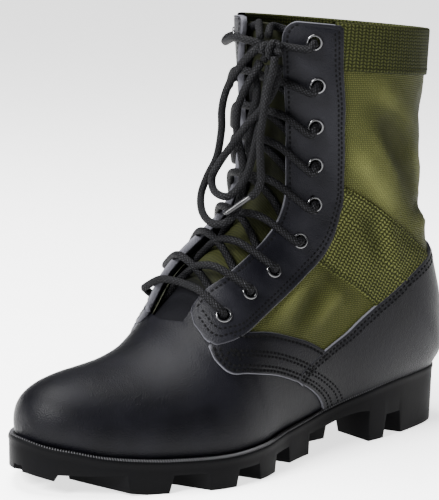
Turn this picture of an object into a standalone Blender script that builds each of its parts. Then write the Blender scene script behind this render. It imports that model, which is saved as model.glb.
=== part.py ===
"""Left jungle boot on its lugged sole: lateral side at +X, toe at -Y, heel at +Y, up at +Z.

The origin is on the floor, at the middle of the sole's outline. All tables are in millimetres.
"""

import math

import bmesh
import bpy
import numpy as np
from mathutils import Vector

MM = 0.001

# Driving dimensions
GAP = 0.3
WALL = 2.0
LEATHER = 1.6
WEBBING = 1.3
SEAM = 0.5
FOOT_CENTRE_X = -4.0
COLUMNS = 8
GAP_COLUMNS = 3
THROAT_STATION = 10.9
TONGUE_DEPTH = 8.6
TONGUE_ROOT_DEPTH = 2.5
TONGUE_THICKNESS = 2.2
TONGUE_LAP = 11.0
INSOLE_THICKNESS = 3.0
INSOLE_INSET = 4.0
LACE_RADIUS = 2.25
HOLE_RADIUS = 4.3
BARREL_OUTER = 3.5
BARREL_INNER = 2.95
FLANGE_RADIUS = 4.8
FLANGE_HEIGHT = 0.9
LUG_DRAFT = 0.16
EYESTAY_SPACING = 7.0
CORD_SPACING = 9.5
GROOVE_ANGLE = math.radians(27.0)
GROOVE_EDGE = 48.0
SIDE_REACH = 90.0
BELOW_FLOOR = -6.0

# Sole outline seen from above, toe at -Y, one closed smooth curve
OUTLINE = (
    ("heel_back", -4.0, 152.5),
    ("heel_back_lateral", 17.0, 142.5),
    ("heel_lateral", 27.5, 116.0),
    ("heel_breast_lateral", 33.5, 76.0),
    ("waist_lateral", 30.5, 38.0),
    ("waist_front_lateral", 39.5, 4.0),
    ("ball_rear_lateral", 52.5, -26.0),
    ("ball_lateral", 55.0, -56.0),
    ("toe_lateral", 42.0, -92.0),
    ("toe_corner_lateral", 24.5, -129.0),
    ("toe_tip", -7.0, -152.5),
    ("toe_corner_medial", -39.5, -133.0),
    ("toe_medial", -54.0, -98.0),
    ("ball_medial", -54.5, -60.0),
    ("ball_rear_medial", -45.5, -22.0),
    ("waist_medial", -36.5, 16.0),
    ("waist_rear_medial", -35.5, 54.0),
    ("heel_medial", -38.5, 94.0),
    ("heel_back_medial", -31.0, 133.0),
)

# Heights along the sole: y, bed under the upper, base between the lugs, lug bottoms
SOLE_HEIGHTS = (
    ("toe_tip", -152.5, 30.5, 17.0, 12.0),
    ("toe_lug", -144.0, 27.0, 15.5, 9.2),
    ("toe_lug_rear", -133.0, 24.8, 14.5, 6.2),
    ("first_groove", -121.0, 22.0, 12.8, 3.6),
    ("spring_end", -104.0, 19.5, 11.2, 0.9),
    ("tread_front", -98.0, 18.9, 10.8, 0.0),
    ("ball_front", -88.0, 18.2, 10.3, 0.0),
    ("ball", -60.0, 18.0, 10.0, 0.0),
    ("ball_rear", -30.0, 18.6, 9.6, 0.0),
    ("waist_front", 0.0, 19.6, 10.2, 0.0),
    ("waist", 22.0, 20.8, 11.8, 0.0),
    ("arch_front", 40.0, 24.0, 14.2, 0.0),
    ("arch", 52.0, 27.2, 17.4, 0.0),
    ("arch_rear", 66.0, 30.6, 19.4, 0.0),
    ("heel_breast", 82.0, 33.4, 17.0, 0.0),
    ("heel_gap", 100.0, 35.0, 14.2, 0.0),
    ("heel", 125.0, 35.6, 14.0, 0.0),
    ("heel_back", 152.5, 35.8, 14.0, 0.0),
)

# Ledge of the sole outside the upper: y, width
WELT = (
    ("toe", -152.5, 4.2),
    ("toe_rear", -100.0, 5.0),
    ("ball", -40.0, 4.6),
    ("waist", 0.0, 3.8),
    ("arch", 40.0, 3.0),
    ("heel", 152.5, 2.6),
)

# Grooves across the tread: y at the sole's edge of the front and the rear wall at the base
GROOVES = (
    ("toe_groove", -146.5, -140.0),
    ("second_groove", -124.5, -104.5),
    ("third_groove", -85.0, -70.5),
    ("ball_groove", -53.0, -35.5),
    ("waist_groove", -13.5, 6.0),
)
HEEL_GROOVE = ("heel_groove", 94.5, 108.5)
ARCH_CUT = ("arch_cut", 25.5, 73.0)
SHANK_LUG = ("shank_lug", -24.0, 15.0, 37.0, 57.0)
CENTRE_CHANNEL_WIDTH = 7.0
CHANNEL_STEP = 2.0

# Sections of the last, toe to collar. Keel y z is the section's low end (z None: on the sole bed),
# ridge y z its high end on the front line, ridge x its plane of symmetry, lateral and medial the widest
# half widths, depth the height of the lower curve, low and top the curves' exponents.
STATIONS = (
    ("toe_tip", -148.5, None, -148.5, 33.0, -8.0, 0.3, 0.3, 12.0, 2.4, 2.0),
    ("toe_a", -147.8, None, -147.8, 38.0, -8.0, 5.0, 6.0, 14.0, 2.4, 2.0),
    ("toe_b", -146.5, None, -146.6, 43.0, -8.0, 9.0, 10.5, 16.0, 2.4, 2.0),
    ("toe_c", -144.0, None, -144.2, 48.0, -8.0, 13.5, 15.0, 18.0, 2.4, 2.0),
    ("toe_d", -139.5, None, -140.0, 52.5, -8.0, 19.5, 21.0, 20.0, 2.4, 2.0),
    ("toe_e", -133.0, None, -133.5, 56.0, -8.0, 25.5, 27.2, 22.0, 2.4, 2.0),
    ("toe_f", -123.5, None, -124.4, 58.6, -8.0, 32.0, 33.8, 24.0, 2.4, 2.0),
    ("toe_g", -110.5, None, -112.0, 60.8, -8.0, 38.5, 39.4, 26.0, 2.4, 1.95),
    ("joint", -96.0, None, -98.0, 62.6, -7.5, 44.0, 43.6, 28.0, 2.4, 1.9),
    ("ball", -79.0, None, -82.0, 66.0, -7.0, 50.6, 45.8, 30.0, 2.3, 1.85),
    ("vamp", -60.0, None, -66.5, 73.2, -6.5, 56.8, 46.0, 32.0, 2.3, 1.85),
    ("throat", -40.0, None, -54.0, 87.5, -6.0, 57.6, 44.5, 36.0, 2.3, 1.9),
    ("instep_a", -18.0, None, -43.0, 106.0, -5.5, 53.0, 41.5, 42.0, 2.3, 1.95),
    ("instep_b", 6.0, None, -30.5, 118.5, -5.0, 45.5, 39.5, 50.0, 2.3, 2.0),
    ("instep_c", 32.0, None, -17.0, 128.5, -4.6, 41.0, 38.8, 58.0, 2.3, 2.0),
    ("waist", 60.0, None, -7.0, 138.0, -4.3, 38.8, 38.4, 64.0, 2.2, 2.0),
    ("ankle_a", 88.0, None, -0.5, 149.0, -4.1, 38.0, 38.4, 68.0, 2.2, 2.0),
    ("ankle_b", 114.0, None, 2.5, 160.0, -4.0, 38.0, 38.5, 70.0, 2.2, 2.0),
    ("heel_in", 134.0, None, 4.0, 170.0, -4.0, 38.5, 39.0, 72.0, 2.2, 2.0),
    ("heel_seat", 146.5, None, 4.5, 180.0, -4.0, 39.0, 39.5, 73.0, 2.2, 2.0),
    ("heel_back", 149.6, 36.8, 6.0, 188.0, -4.0, 39.5, 40.0, 74.0, 2.2, 2.0),
    ("counter_a", 150.4, 50.0, 5.5, 197.0, -4.0, 40.0, 40.5, 74.0, 2.2, 2.0),
    ("counter_b", 148.0, 68.0, 5.0, 206.0, -4.0, 40.5, 41.0, 73.0, 2.15, 2.0),
    ("counter_c", 142.0, 88.0, 4.5, 214.0, -4.0, 41.0, 41.5, 72.0, 2.1, 2.0),
    ("heel_cord", 134.0, 110.0, 4.0, 222.0, -4.0, 41.5, 42.0, 70.0, 2.1, 2.0),
    ("shaft_a", 128.0, 134.0, 3.5, 229.0, -4.0, 42.5, 43.0, 68.0, 2.0, 2.0),
    ("shaft_b", 126.5, 160.0, 3.2, 235.5, -4.0, 43.5, 44.0, 66.0, 2.0, 2.0),
    ("shaft_c", 127.0, 188.0, 3.0, 241.5, -4.0, 44.5, 45.0, 64.0, 2.0, 2.0),
    ("shaft_d", 127.8, 216.0, 2.8, 247.0, -4.0, 45.5, 46.0, 63.0, 2.0, 2.0),
    ("collar", 128.5, 243.0, 2.5, 252.0, -4.0, 46.0, 46.5, 62.0, 2.0, 2.0),
)
STATION_AT = {row[0]: number for number, row in enumerate(STATIONS)}

# Throat edges: station, distance from the ridge along the surface on the lateral and on the medial side
THROAT = (
    ("toe_tip", 0.2, 0.2),
    ("toe_d", 8.0, 7.0),
    ("joint", 14.0, 13.0),
    ("vamp", 15.0, 14.0),
    ("throat", 16.0, 15.0),
    ("instep_a", 20.0, 15.0),
    ("instep_b", 24.0, 15.0),
    ("instep_c", 24.0, 16.0),
    ("waist", 24.5, 19.0),
    ("ankle_a", 26.0, 21.0),
    ("ankle_b", 27.0, 21.0),
    ("heel_in", 26.0, 21.0),
    ("heel_back", 24.0, 19.0),
    ("counter_c", 22.5, 16.0),
    ("shaft_a", 21.5, 12.0),
    ("shaft_c", 20.5, 8.0),
    ("collar", 20.0, 6.0),
)

# Seam lines in the side view: y, z
EYESTAY_BACK_LATERAL = (
    (34.5, 258.0), (36.0, 240.0), (38.0, 221.0), (41.0, 204.0), (43.1, 189.2), (45.4, 174.0),
    (46.6, 159.7), (46.8, 147.0), (43.3, 131.0), (38.2, 120.8), (31.2, 112.8), (20.5, 105.6),
    (8.9, 99.2), (-3.0, 92.8), (-14.9, 86.6), (-29.4, 80.0),
)
EYESTAY_BACK_MEDIAL = (
    (25.0, 258.0), (26.5, 240.0), (29.0, 221.0), (33.0, 204.0), (36.5, 189.2), (39.5, 174.0),
    (41.5, 159.7), (42.0, 147.0), (38.5, 132.0), (33.2, 122.0), (26.2, 114.4), (15.5, 107.4),
    (3.9, 101.0), (-8.0, 94.6), (-19.9, 88.4), (-33.4, 81.0),
)
EYESTAY_TIP_LATERAL = ((-38.5, 76.6), (-47.5, 74.2), (-50.6, 77.0), (-51.0, 84.0), (-50.6, 93.0))
EYESTAY_TIP_MEDIAL = ((-42.5, 77.4), (-51.0, 74.6), (-54.2, 77.4), (-54.6, 84.0), (-54.2, 92.0))
THROAT_FRONT = ((-60.0, 100.0), (-40.0, 150.0), (-25.0, 258.0))
PANEL_BOTTOM = ((-50.6, 74.0), (-50.4, 67.2), (-44.9, 60.6), (-32.1, 59.1), (-10.2, 54.3), (9.0, 47.0))
PANEL_TOP = ((30.6, 62.4), (19.5, 68.4), (8.2, 72.6), (-10.9, 78.3), (-27.0, 80.4))
COUNTER_TOP = (
    (9.2, 50.9), (19.3, 56.5), (36.8, 64.4), (49.3, 69.8), (59.7, 76.2), (73.6, 84.3),
    (82.0, 89.0), (91.4, 95.2), (104.1, 104.6), (116.0, 111.0), (130.0, 116.0), (165.0, 119.0),
)
COUNTER_FRONT = ((165.0, 12.0), (46.0, 12.0), (39.0, 24.0), (32.0, 32.3), (21.1, 40.6), (9.0, 47.0))
BAND_TOP = ((46.0, 156.5), (66.2, 145.4), (83.7, 132.9), (101.2, 120.5), (122.0, 104.0))
BAND_BOTTOM = ((76.0, 80.0), (70.4, 85.2), (58.5, 94.6), (46.3, 102.4), (29.0, 113.5))
COLLAR_BOTTOM = ((20.0, 225.4), (36.5, 223.6), (51.1, 222.6), (78.0, 220.3), (135.0, 215.5))

# Eyelets, top to bottom: y and z in the side view on the lateral and on the medial side
EYELETS = (
    ("1", 21.4, 239.6, 14.0, 239.6),
    ("2", 25.4, 215.2, 17.5, 215.4),
    ("3", 28.0, 191.5, 20.5, 191.8),
    ("4", 29.8, 168.8, 23.5, 169.2),
    ("5", 29.8, 146.2, 24.5, 147.0),
    ("6", 20.1, 125.6, 15.0, 127.0),
    ("7", -1.1, 110.6, -5.5, 112.4),
    ("8", -20.0, 100.3, -24.5, 102.2),
    ("9", -38.7, 89.6, -43.0, 91.0),
)

# A lace's way from the eyelet it leaves, inside, to the eyelet it enters, outside:
# share of the way across, height above the last's surface
CROSSING_HEIGHTS = ((0.24, -5.2), (0.36, -4.2), (0.47, -1.4), (0.58, 2.4), (0.72, 5.4))
BAR_HEIGHTS = ((0.26, 5.6), (0.39, 2.0), (0.5, 0.4), (0.61, 2.0), (0.74, 5.6))
# Beside an eyelet: distance from its axis towards the other one, height
ENTRY = ((5.2, 7.4), (2.4, 6.8), (0.4, 4.0), (0.0, 0.25))
EXIT = ((0.0, -0.25), (0.1, -2.4), (1.8, -4.9), (4.8, -5.4))

# Bow: the routes of its cords through the air in front of the throat, x, y, z
KNOT = (18.0, -1.4, 234.6)
KNOT_RADII = (5.8, 4.0, 4.6)
OUTER_LOOP = (
    (12.8, -6.4, 236.0), (6.9, -8.8, 230.8), (-3.2, -9.6, 220.4), (-11.0, -9.4, 209.3), (-14.5, -9.1, 198.4),
    (-14.2, -9.2, 187.0), (-16.5, -10.2, 171.4), (-21.8, -12.4, 159.6), (-22.4, -16.3, 148.8),
    (-14.6, -21.5, 140.6), (-4.1, -24.1, 136.4), (3.8, -22.7, 136.3), (7.6, -18.0, 140.3), (7.0, -12.3, 148.8),
    (5.2, -9.1, 158.8), (4.4, -8.3, 168.1), (1.7, -8.3, 177.3), (-1.0, -8.6, 185.6), (-1.5, -9.0, 194.1),
    (0.1, -9.0, 203.7), (6.6, -8.4, 215.2), (11.8, -6.2, 224.4), (13.4, -4.6, 227.6),
)
INNER_LOOP = (
    (21.2, 2.2, 226.4), (21.8, 0.4, 220.4), (20.9, -2.0, 212.1), (17.7, -5.9, 203.5), (11.0, -10.8, 193.7),
    (3.1, -14.4, 182.2), (-6.2, -16.7, 169.6), (-11.8, -17.3, 160.2), (-6.3, -19.6, 153.4), (3.5, -19.0, 151.7),
    (8.7, -15.3, 156.4), (11.4, -11.7, 163.6), (13.5, -9.4, 174.1), (14.3, -7.1, 186.4), (14.9, -4.9, 197.6),
    (15.6, -3.4, 207.9), (16.4, -2.6, 218.0), (16.8, -2.0, 226.0),
)
LONG_END = (
    (24.2, -4.4, 231.4), (25.0, -6.2, 224.6), (22.8, -7.4, 214.3), (22.4, -9.4, 202.2), (21.1, -10.5, 187.1),
    (21.3, -10.0, 173.1), (20.8, -8.7, 162.8), (18.3, -10.1, 155.4), (14.0, -13.4, 151.0), (10.6, -18.4, 146.6),
    (7.5, -23.0, 142.6),
)
SHORT_END = (
    (8.6, -1.8, 227.8), (6.4, -3.2, 221.1), (7.8, -2.6, 213.7), (7.6, -2.6, 206.1), (4.9, -3.2, 197.3),
    (3.2, -3.6, 188.6), (3.7, -3.8, 181.1), (4.5, -3.9, 175.5),
)
# The cords from the top eyelets, inside the facings and up through the gap to the knot:
# distance from the eyelet's axis and height, then share of the way across, height and rise
LEAD_START = ((1.0, -5.6), (4.0, -5.6))
LEAD_LATERAL = ((0.16, -5.7, 0.6), (0.25, -5.8, 1.8), (0.335, -4.6, 3.0), (0.375, 0.6, 3.6))
LEAD_LATERAL_END = (13.6, -0.4, 243.0)
LEAD_MEDIAL = ((0.16, -5.7, 0.6), (0.28, -5.8, 2.0), (0.42, -4.6, 3.2), (0.50, 0.2, 4.0))
LEAD_MEDIAL_END = (9.0, -2.4, 241.4)


def catmull(values, place):
    """Smooth value of a column of numbers at a place between its rows."""
    last = len(values) - 1
    row = int(min(max(math.floor(place), 0), last - 1))
    share = place - row
    here, after = values[row], values[row + 1]
    before = values[row - 1] if row > 0 else 2 * here - after
    beyond = values[row + 2] if row < last - 1 else 2 * after - here
    slope_here, slope_after = (after - before) / 2, (beyond - here) / 2
    cube, square = share ** 3, share ** 2
    return (
        (2 * cube - 3 * square + 1) * here + (cube - 2 * square + share) * slope_here
        + (3 * square - 2 * cube) * after + (cube - square) * slope_after
    )


def monotone(xs, ys, x):
    """Smooth curve through a table that never overshoots its rows."""
    xs, ys = np.asarray(xs, float), np.asarray(ys, float)
    widths = np.diff(xs)
    rises = np.diff(ys) / widths
    slopes = np.empty(len(xs))
    slopes[0], slopes[-1] = rises[0], rises[-1]
    same = rises[:-1] * rises[1:] > 0
    w1, w2 = 2 * widths[1:] + widths[:-1], widths[1:] + 2 * widths[:-1]
    with np.errstate(divide="ignore", invalid="ignore"):
        mean = (w1 + w2) / (w1 / rises[:-1] + w2 / rises[1:])
    slopes[1:-1] = np.where(same, mean, 0.0)
    x = np.clip(np.asarray(x, float), xs[0], xs[-1])
    row = np.clip(np.searchsorted(xs, x, side="right") - 1, 0, len(xs) - 2)
    share = (x - xs[row]) / widths[row]
    cube, square = share ** 3, share ** 2
    return (
        (2 * cube - 3 * square + 1) * ys[row] + (cube - 2 * square + share) * widths[row] * slopes[row]
        + (3 * square - 2 * cube) * ys[row + 1] + (cube - square) * widths[row] * slopes[row + 1]
    )


def column(table, number):
    return [row[number] for row in table]


def closed_spline(points, count):
    """Smooth closed curve through the points, evenly spaced."""
    ring = np.asarray(points, float)
    total = len(ring)
    fine = []
    for row in range(total):
        p0, p1, p2, p3 = (ring[(row + k) % total] for k in (-1, 0, 1, 2))
        for share in np.linspace(0.0, 1.0, 24, endpoint=False):
            cube, square = share ** 3, share ** 2
            fine.append(
                0.5 * (2 * p1 + (p2 - p0) * share + (2 * p0 - 5 * p1 + 4 * p2 - p3) * square
                       + (3 * p1 - p0 - 3 * p2 + p3) * cube)
            )
    return resampled(np.array(fine + [fine[0]]), count + 1)[:-1]


def resampled(points, count):
    """The polyline's points again, evenly spaced along it."""
    points = np.asarray(points, float)
    steps = np.r_[0.0, np.cumsum(np.linalg.norm(np.diff(points, axis=0), axis=1))]
    wanted = np.linspace(0.0, steps[-1], count)
    return np.stack([np.interp(wanted, steps, points[:, k]) for k in range(points.shape[1])], 1)


def smooth_route(points, spacing):
    """Smooth open curve through the route's points, a point every spacing."""
    points = np.asarray(points, float)
    fine = [
        [catmull(points[:, k], place) for k in range(points.shape[1])]
        for place in np.linspace(0.0, len(points) - 1, 12 * len(points))
    ]
    fine = np.array(fine)
    length = np.linalg.norm(np.diff(fine, axis=0), axis=1).sum()
    return resampled(fine, max(4, int(round(length / spacing)) + 1))


def sole_bed(y):
    return monotone(column(SOLE_HEIGHTS, 1), column(SOLE_HEIGHTS, 2), y)


def sole_base(y):
    return monotone(column(SOLE_HEIGHTS, 1), column(SOLE_HEIGHTS, 3), y)


def lug_bottom(y):
    return np.interp(y, column(SOLE_HEIGHTS, 1), column(SOLE_HEIGHTS, 4))


SOLE_EDGE = closed_spline([(x, y) for _, x, y in OUTLINE], 360)
SOLE_EDGE -= (SOLE_EDGE.max(0) + SOLE_EDGE.min(0)) / 2


def inset_curve(curve, widths):
    """The closed curve moved inwards by a width for each of its points."""
    ahead, behind = np.roll(curve, -1, 0), np.roll(curve, 1, 0)
    along = ahead - behind
    along /= np.linalg.norm(along, axis=1)[:, None]
    inward = np.stack([along[:, 1], -along[:, 0]], 1)
    middle = curve.mean(0)
    if ((middle - curve) * inward).sum() < 0:
        inward = -inward
    return curve + inward * np.asarray(widths)[:, None]


FEATHER = inset_curve(SOLE_EDGE, monotone(column(WELT, 1), column(WELT, 2), SOLE_EDGE[:, 1]))


def sides_at(curve, y):
    """Lowest and highest x of a closed curve where it crosses this y."""
    ends = np.roll(curve, -1, 0)
    crossing = (curve[:, 1] - y) * (ends[:, 1] - y) <= 0
    starts, ends = curve[crossing], ends[crossing]
    if not len(starts):
        tip = curve[np.argmin(np.abs(curve[:, 1] - y)), 0]
        return tip, tip
    rise = ends[:, 1] - starts[:, 1]
    share = np.where(np.abs(rise) < 1e-9, 0.5, (y - starts[:, 1]) / np.where(rise == 0, 1, rise))
    xs = starts[:, 0] + share * (ends[:, 0] - starts[:, 0])
    return xs.min(), xs.max()


LATERAL, MEDIAL = 1, -1
SECTION_POINTS = 65
SECTION_COLUMNS = [column(STATIONS, number) for number in range(1, 11)]
SECTION_COLUMNS[1] = [
    float(sole_bed(y)) + GAP if z is None else z for y, z in zip(SECTION_COLUMNS[0], SECTION_COLUMNS[1])
]


def station_values(place):
    values = [catmull(values, place) for values in SECTION_COLUMNS]
    if place < STATION_AT["heel_back"]:
        values[1] = float(sole_bed(values[0])) + GAP
    return values


def half_section(side, place):
    """Evenly spaced points of one side of a section, from its keel to its ridge."""
    keel_y, keel_z, ridge_y, ridge_z, ridge_x, lateral, medial, depth, low, top = station_values(place)
    foot = 0.0
    if place < STATION_AT["heel_back"]:
        left, right = sides_at(FEATHER, keel_y)
        foot = abs((right if side == LATERAL else left) - ridge_x)
    widest = max(lateral if side == LATERAL else medial, foot * 1.005)
    height = math.hypot(ridge_y - keel_y, ridge_z - keel_z)
    up_y, up_z = (ridge_y - keel_y) / height, (ridge_z - keel_z) / height
    start = math.asin(min(1.0, foot / widest) ** (low / 2))
    depth = min(depth, 0.55 * height)
    waist = depth * math.cos(start) ** (2 / low)
    angle = np.linspace(start, math.pi / 2, 2 * SECTION_POINTS)
    low_x = widest * np.sin(angle) ** (2 / low)
    low_w = waist - depth * np.clip(np.cos(angle), 0, 1) ** (2 / low)
    angle = np.linspace(0, math.pi / 2, 3 * SECTION_POINTS)[1:]
    top_x = widest * np.clip(np.cos(angle), 0, 1) ** (2 / top)
    top_w = waist + (height - waist) * np.sin(angle) ** (2 / top)
    across, along = np.r_[low_x, top_x], np.r_[low_w, top_w]
    even = resampled(np.stack([across, along], 1), SECTION_POINTS)
    if place == 0:
        even[:, 0] = 0.0
    return np.stack(
        [ridge_x + side * even[:, 0], keel_y + up_y * even[:, 1], keel_z + up_z * even[:, 1]], 1
    )


PLACE_STEP = 0.125
PLACES = np.arange(0.0, len(STATIONS) - 1 + PLACE_STEP / 2, PLACE_STEP)
LAST = {side: np.array([half_section(side, place) for place in PLACES]) for side in (LATERAL, MEDIAL)}


def on_last(side, place, share):
    """Point of the last: place counts the stations, share runs from the keel, 0, to the ridge, 1."""
    table = LAST[side]
    row = min(max(place / PLACE_STEP, 0.0), len(PLACES) - 1.001)
    spot = min(max(share, 0.0), 1.0) * (SECTION_POINTS - 1)
    spot = min(spot, SECTION_POINTS - 1.001)
    r, c = int(row), int(spot)
    u, v = row - r, spot - c
    return (
        table[r, c] * (1 - u) * (1 - v) + table[r + 1, c] * u * (1 - v)
        + table[r, c + 1] * (1 - u) * v + table[r + 1, c + 1] * u * v
    )


def section_length(side, place):
    row = int(round(min(max(place / PLACE_STEP, 0), len(PLACES) - 1)))
    return np.linalg.norm(np.diff(LAST[side][row], axis=0), axis=1).sum()


def share_at(side, place, distance):
    """Share of a section at a distance from its ridge along the surface."""
    return 1.0 - distance / section_length(side, place)


def last_normal(side, place, share, reach=0.03):
    """Outward normal of the last."""
    top = len(STATIONS) - 1
    along = on_last(side, min(place + 4 * reach, top), share) - on_last(side, max(place - 4 * reach, 0), share)
    if share + reach > 1.0:
        across = on_last(-side, place, 1 - reach) - on_last(side, place, share - reach)
    else:
        across = on_last(side, place, share + reach) - on_last(side, place, max(share - reach, 0.0))
    normal = np.cross(along, across) * side
    return normal / np.linalg.norm(normal)


def on_side(side, y, z):
    """Place and share of the last's point that the side view shows at y, z."""
    def beside(place):
        keel_y, keel_z, ridge_y, ridge_z = station_values(place)[:4]
        return (ridge_y - keel_y) * (z - keel_z) - (ridge_z - keel_z) * (y - keel_y)
    low, high = 1.0, len(STATIONS) - 1.0
    for _ in range(40):
        middle = (low + high) / 2
        if beside(middle) < 0:
            low = middle
        else:
            high = middle
    keel_y, keel_z, ridge_y, ridge_z = station_values(low)[:4]
    row = int(round(low / PLACE_STEP))
    line = LAST[side][row]
    distance = np.hypot(line[:, 1] - line[0, 1], line[:, 2] - line[0, 2])
    wanted = math.hypot(y - keel_y, z - keel_z)
    share = np.interp(wanted, distance, np.linspace(0, 1, SECTION_POINTS))
    return low, float(share)


def throat_distance(side, place):
    stations = [STATION_AT[name] for name in column(THROAT, 0)]
    return float(monotone(stations, column(THROAT, 1 if side == LATERAL else 2), place))


def make_object(name, points, faces, colour):
    """A mesh object from points in millimetres."""
    mesh = bpy.data.meshes.new(name)
    mesh.from_pydata([tuple(point * MM for point in p) for p in points], [], [tuple(f) for f in faces])
    mesh.update()
    obj = bpy.data.objects.new(name, mesh)
    bpy.context.scene.collection.objects.link(obj)
    if colour:
        mesh.materials.append(material(*colour))
    return obj


def material(name, red, green, blue, roughness, metallic=0.0):
    found = bpy.data.materials.get(name)
    if found:
        return found
    made = bpy.data.materials.new(name)
    made.use_nodes = True
    shader = made.node_tree.nodes["Principled BSDF"]
    shader.inputs["Base Color"].default_value = (red, green, blue, 1.0)
    shader.inputs["Roughness"].default_value = roughness
    shader.inputs["Metallic"].default_value = metallic
    return made


BLACK_LEATHER = ("black_leather", 0.018, 0.018, 0.021, 0.42)
OLIVE_NYLON = ("olive_nylon", 0.060, 0.066, 0.022, 0.62)
OLIVE_WEBBING = ("olive_webbing", 0.068, 0.072, 0.026, 0.70)
BLACK_RUBBER = ("black_rubber", 0.012, 0.012, 0.013, 0.55)
BLACK_ENAMEL = ("black_enamel", 0.010, 0.010, 0.011, 0.22, 0.5)
BLACK_CORD = ("black_cord", 0.014, 0.014, 0.015, 0.75)
INSOLE_FELT = ("insole_felt", 0.035, 0.035, 0.035, 0.85)


class Surface:
    """Points and quads on the last, welded where they meet, with a normal for each point."""

    def __init__(self):
        self.points, self.faces, self.index = [], [], {}

    def point(self, p):
        key = tuple(np.round(p, 3))
        if key not in self.index:
            self.index[key] = len(self.points)
            self.points.append(np.array(p, float))
        return self.index[key]

    def grid(self, rows):
        """Adds two triangles for each place between the rows, but none where they collapse."""
        numbers = [[self.point(p) for p in row] for row in rows]
        for low, high in zip(numbers[:-1], numbers[1:]):
            for k in range(len(low) - 1):
                corners = [low[k], high[k], high[k + 1], low[k + 1]]
                for face in ([corners[0], corners[1], corners[2]], [corners[0], corners[2], corners[3]]):
                    if len(set(face)) == 3:
                        self.faces.append(face)

    def normals(self):
        points = np.array(self.points)
        total = np.zeros_like(points)
        for face in self.faces:
            ring = points[face]
            for k in range(len(face)):
                before, after = ring[k - 1] - ring[k], ring[(k + 1) % len(face)] - ring[k]
                area = np.cross(after, before)
                total[face[k]] += area / (np.linalg.norm(area) + 1e-12) * math.acos(
                    np.clip(before @ after / (np.linalg.norm(before) * np.linalg.norm(after) + 1e-12), -1, 1)
                )
        return total / (np.linalg.norm(total, axis=1)[:, None] + 1e-12)

    def rim(self):
        """Edges that only one face has, in the direction of that face."""
        used = {}
        for face in self.faces:
            for k in range(len(face)):
                edge = (face[k], face[(k + 1) % len(face)])
                used[edge] = True
        return [edge for edge in used if (edge[1], edge[0]) not in used]

    def shell(self, low, high):
        """Points and faces of the closed wall between two heights above the surface."""
        points, normals = np.array(self.points), self.normals()
        bottom = points[:, 2] < [float(sole_bed(y)) + GAP + 0.02 for y in points[:, 1]]
        layers = []
        for height in (np.broadcast_to(high, len(points)), np.broadcast_to(low, len(points))):
            layer = points + normals * height[:, None]
            layer[bottom, 2] = [float(sole_bed(y)) + GAP for y in layer[bottom, 1]]
            layers.append(layer)
        count = len(points)
        faces = [list(face) for face in self.faces]
        faces += [[corner + count for corner in reversed(face)] for face in self.faces]
        faces += [[b, a, a + count, b + count] for a, b in self.rim()]
        return np.vstack(layers), faces


UPPER_PLACES = (
    0, 1, 2, 3, 4, 5, 6, 7, 8, 9, 10, THROAT_STATION, 12, 13, 14, 14.5, 15, 15.5, 16, 16.5, 17, 18, 19, 20, 21,
    22, 23, 24, 25, 26, 27.5, 29,
)


def upper_surface():
    """The whole upper's outside: two sides from the sole to the throat, and the vamp between them."""
    surface = Surface()
    for side in (LATERAL, MEDIAL):
        rows = []
        for place in UPPER_PLACES:
            edge = share_at(side, place, throat_distance(side, place))
            row = [on_last(side, place, share) for share in np.linspace(0, max(edge, 0.02), COLUMNS + 1)]
            rows.append(row if side == LATERAL else row[::-1])
        surface.grid(rows)
    rows = []
    for place in UPPER_PLACES:
        if place > THROAT_STATION:
            break
        left = max(share_at(LATERAL, place, throat_distance(LATERAL, place)), 0.02)
        right = max(share_at(MEDIAL, place, throat_distance(MEDIAL, place)), 0.02)
        row = [on_last(LATERAL, place, share) for share in np.linspace(left, 1, GAP_COLUMNS)]
        row += [on_last(MEDIAL, place, share) for share in np.linspace(1, right, GAP_COLUMNS)[1:]]
        rows.append(row)
    surface.grid(rows)
    return surface


def prism(name, outline, low_x, high_x):
    """Closed prism of a side view outline, from one x to another."""
    points = [(x, y, z) for x in (high_x, low_x) for y, z in outline]
    return solid(name, points, prism_faces(0, len(outline)))


def as_cutter(obj):
    obj.hide_render = True
    obj.display_type = "WIRE"
    return obj


def boolean(obj, cutter, operation):
    modifier = obj.modifiers.new(cutter.name, "BOOLEAN")
    modifier.operation = operation
    modifier.solver = "EXACT"
    modifier.object = cutter
    return modifier


def shifted(line, distance):
    """A side view line moved to the left of its direction."""
    line = np.asarray(line, float)
    along = np.gradient(line, axis=0)
    along /= np.linalg.norm(along, axis=1)[:, None]
    return line + np.stack([-along[:, 1], along[:, 0]], 1) * distance


def clear_scene():
    for obj in list(bpy.data.objects):
        bpy.data.objects.remove(obj, do_unlink=True)
    for mesh in list(bpy.data.meshes):
        bpy.data.meshes.remove(mesh)


def sole_stations():
    """Places along the sole where its cross-sections stand, close together at both ends."""
    front, back = SOLE_EDGE[:, 1].min(), SOLE_EDGE[:, 1].max()
    middle, half = (front + back) / 2, (back - front) / 2
    return [middle - half * math.cos(math.pi * share) for share in np.linspace(0.012, 0.988, 56)]


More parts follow.
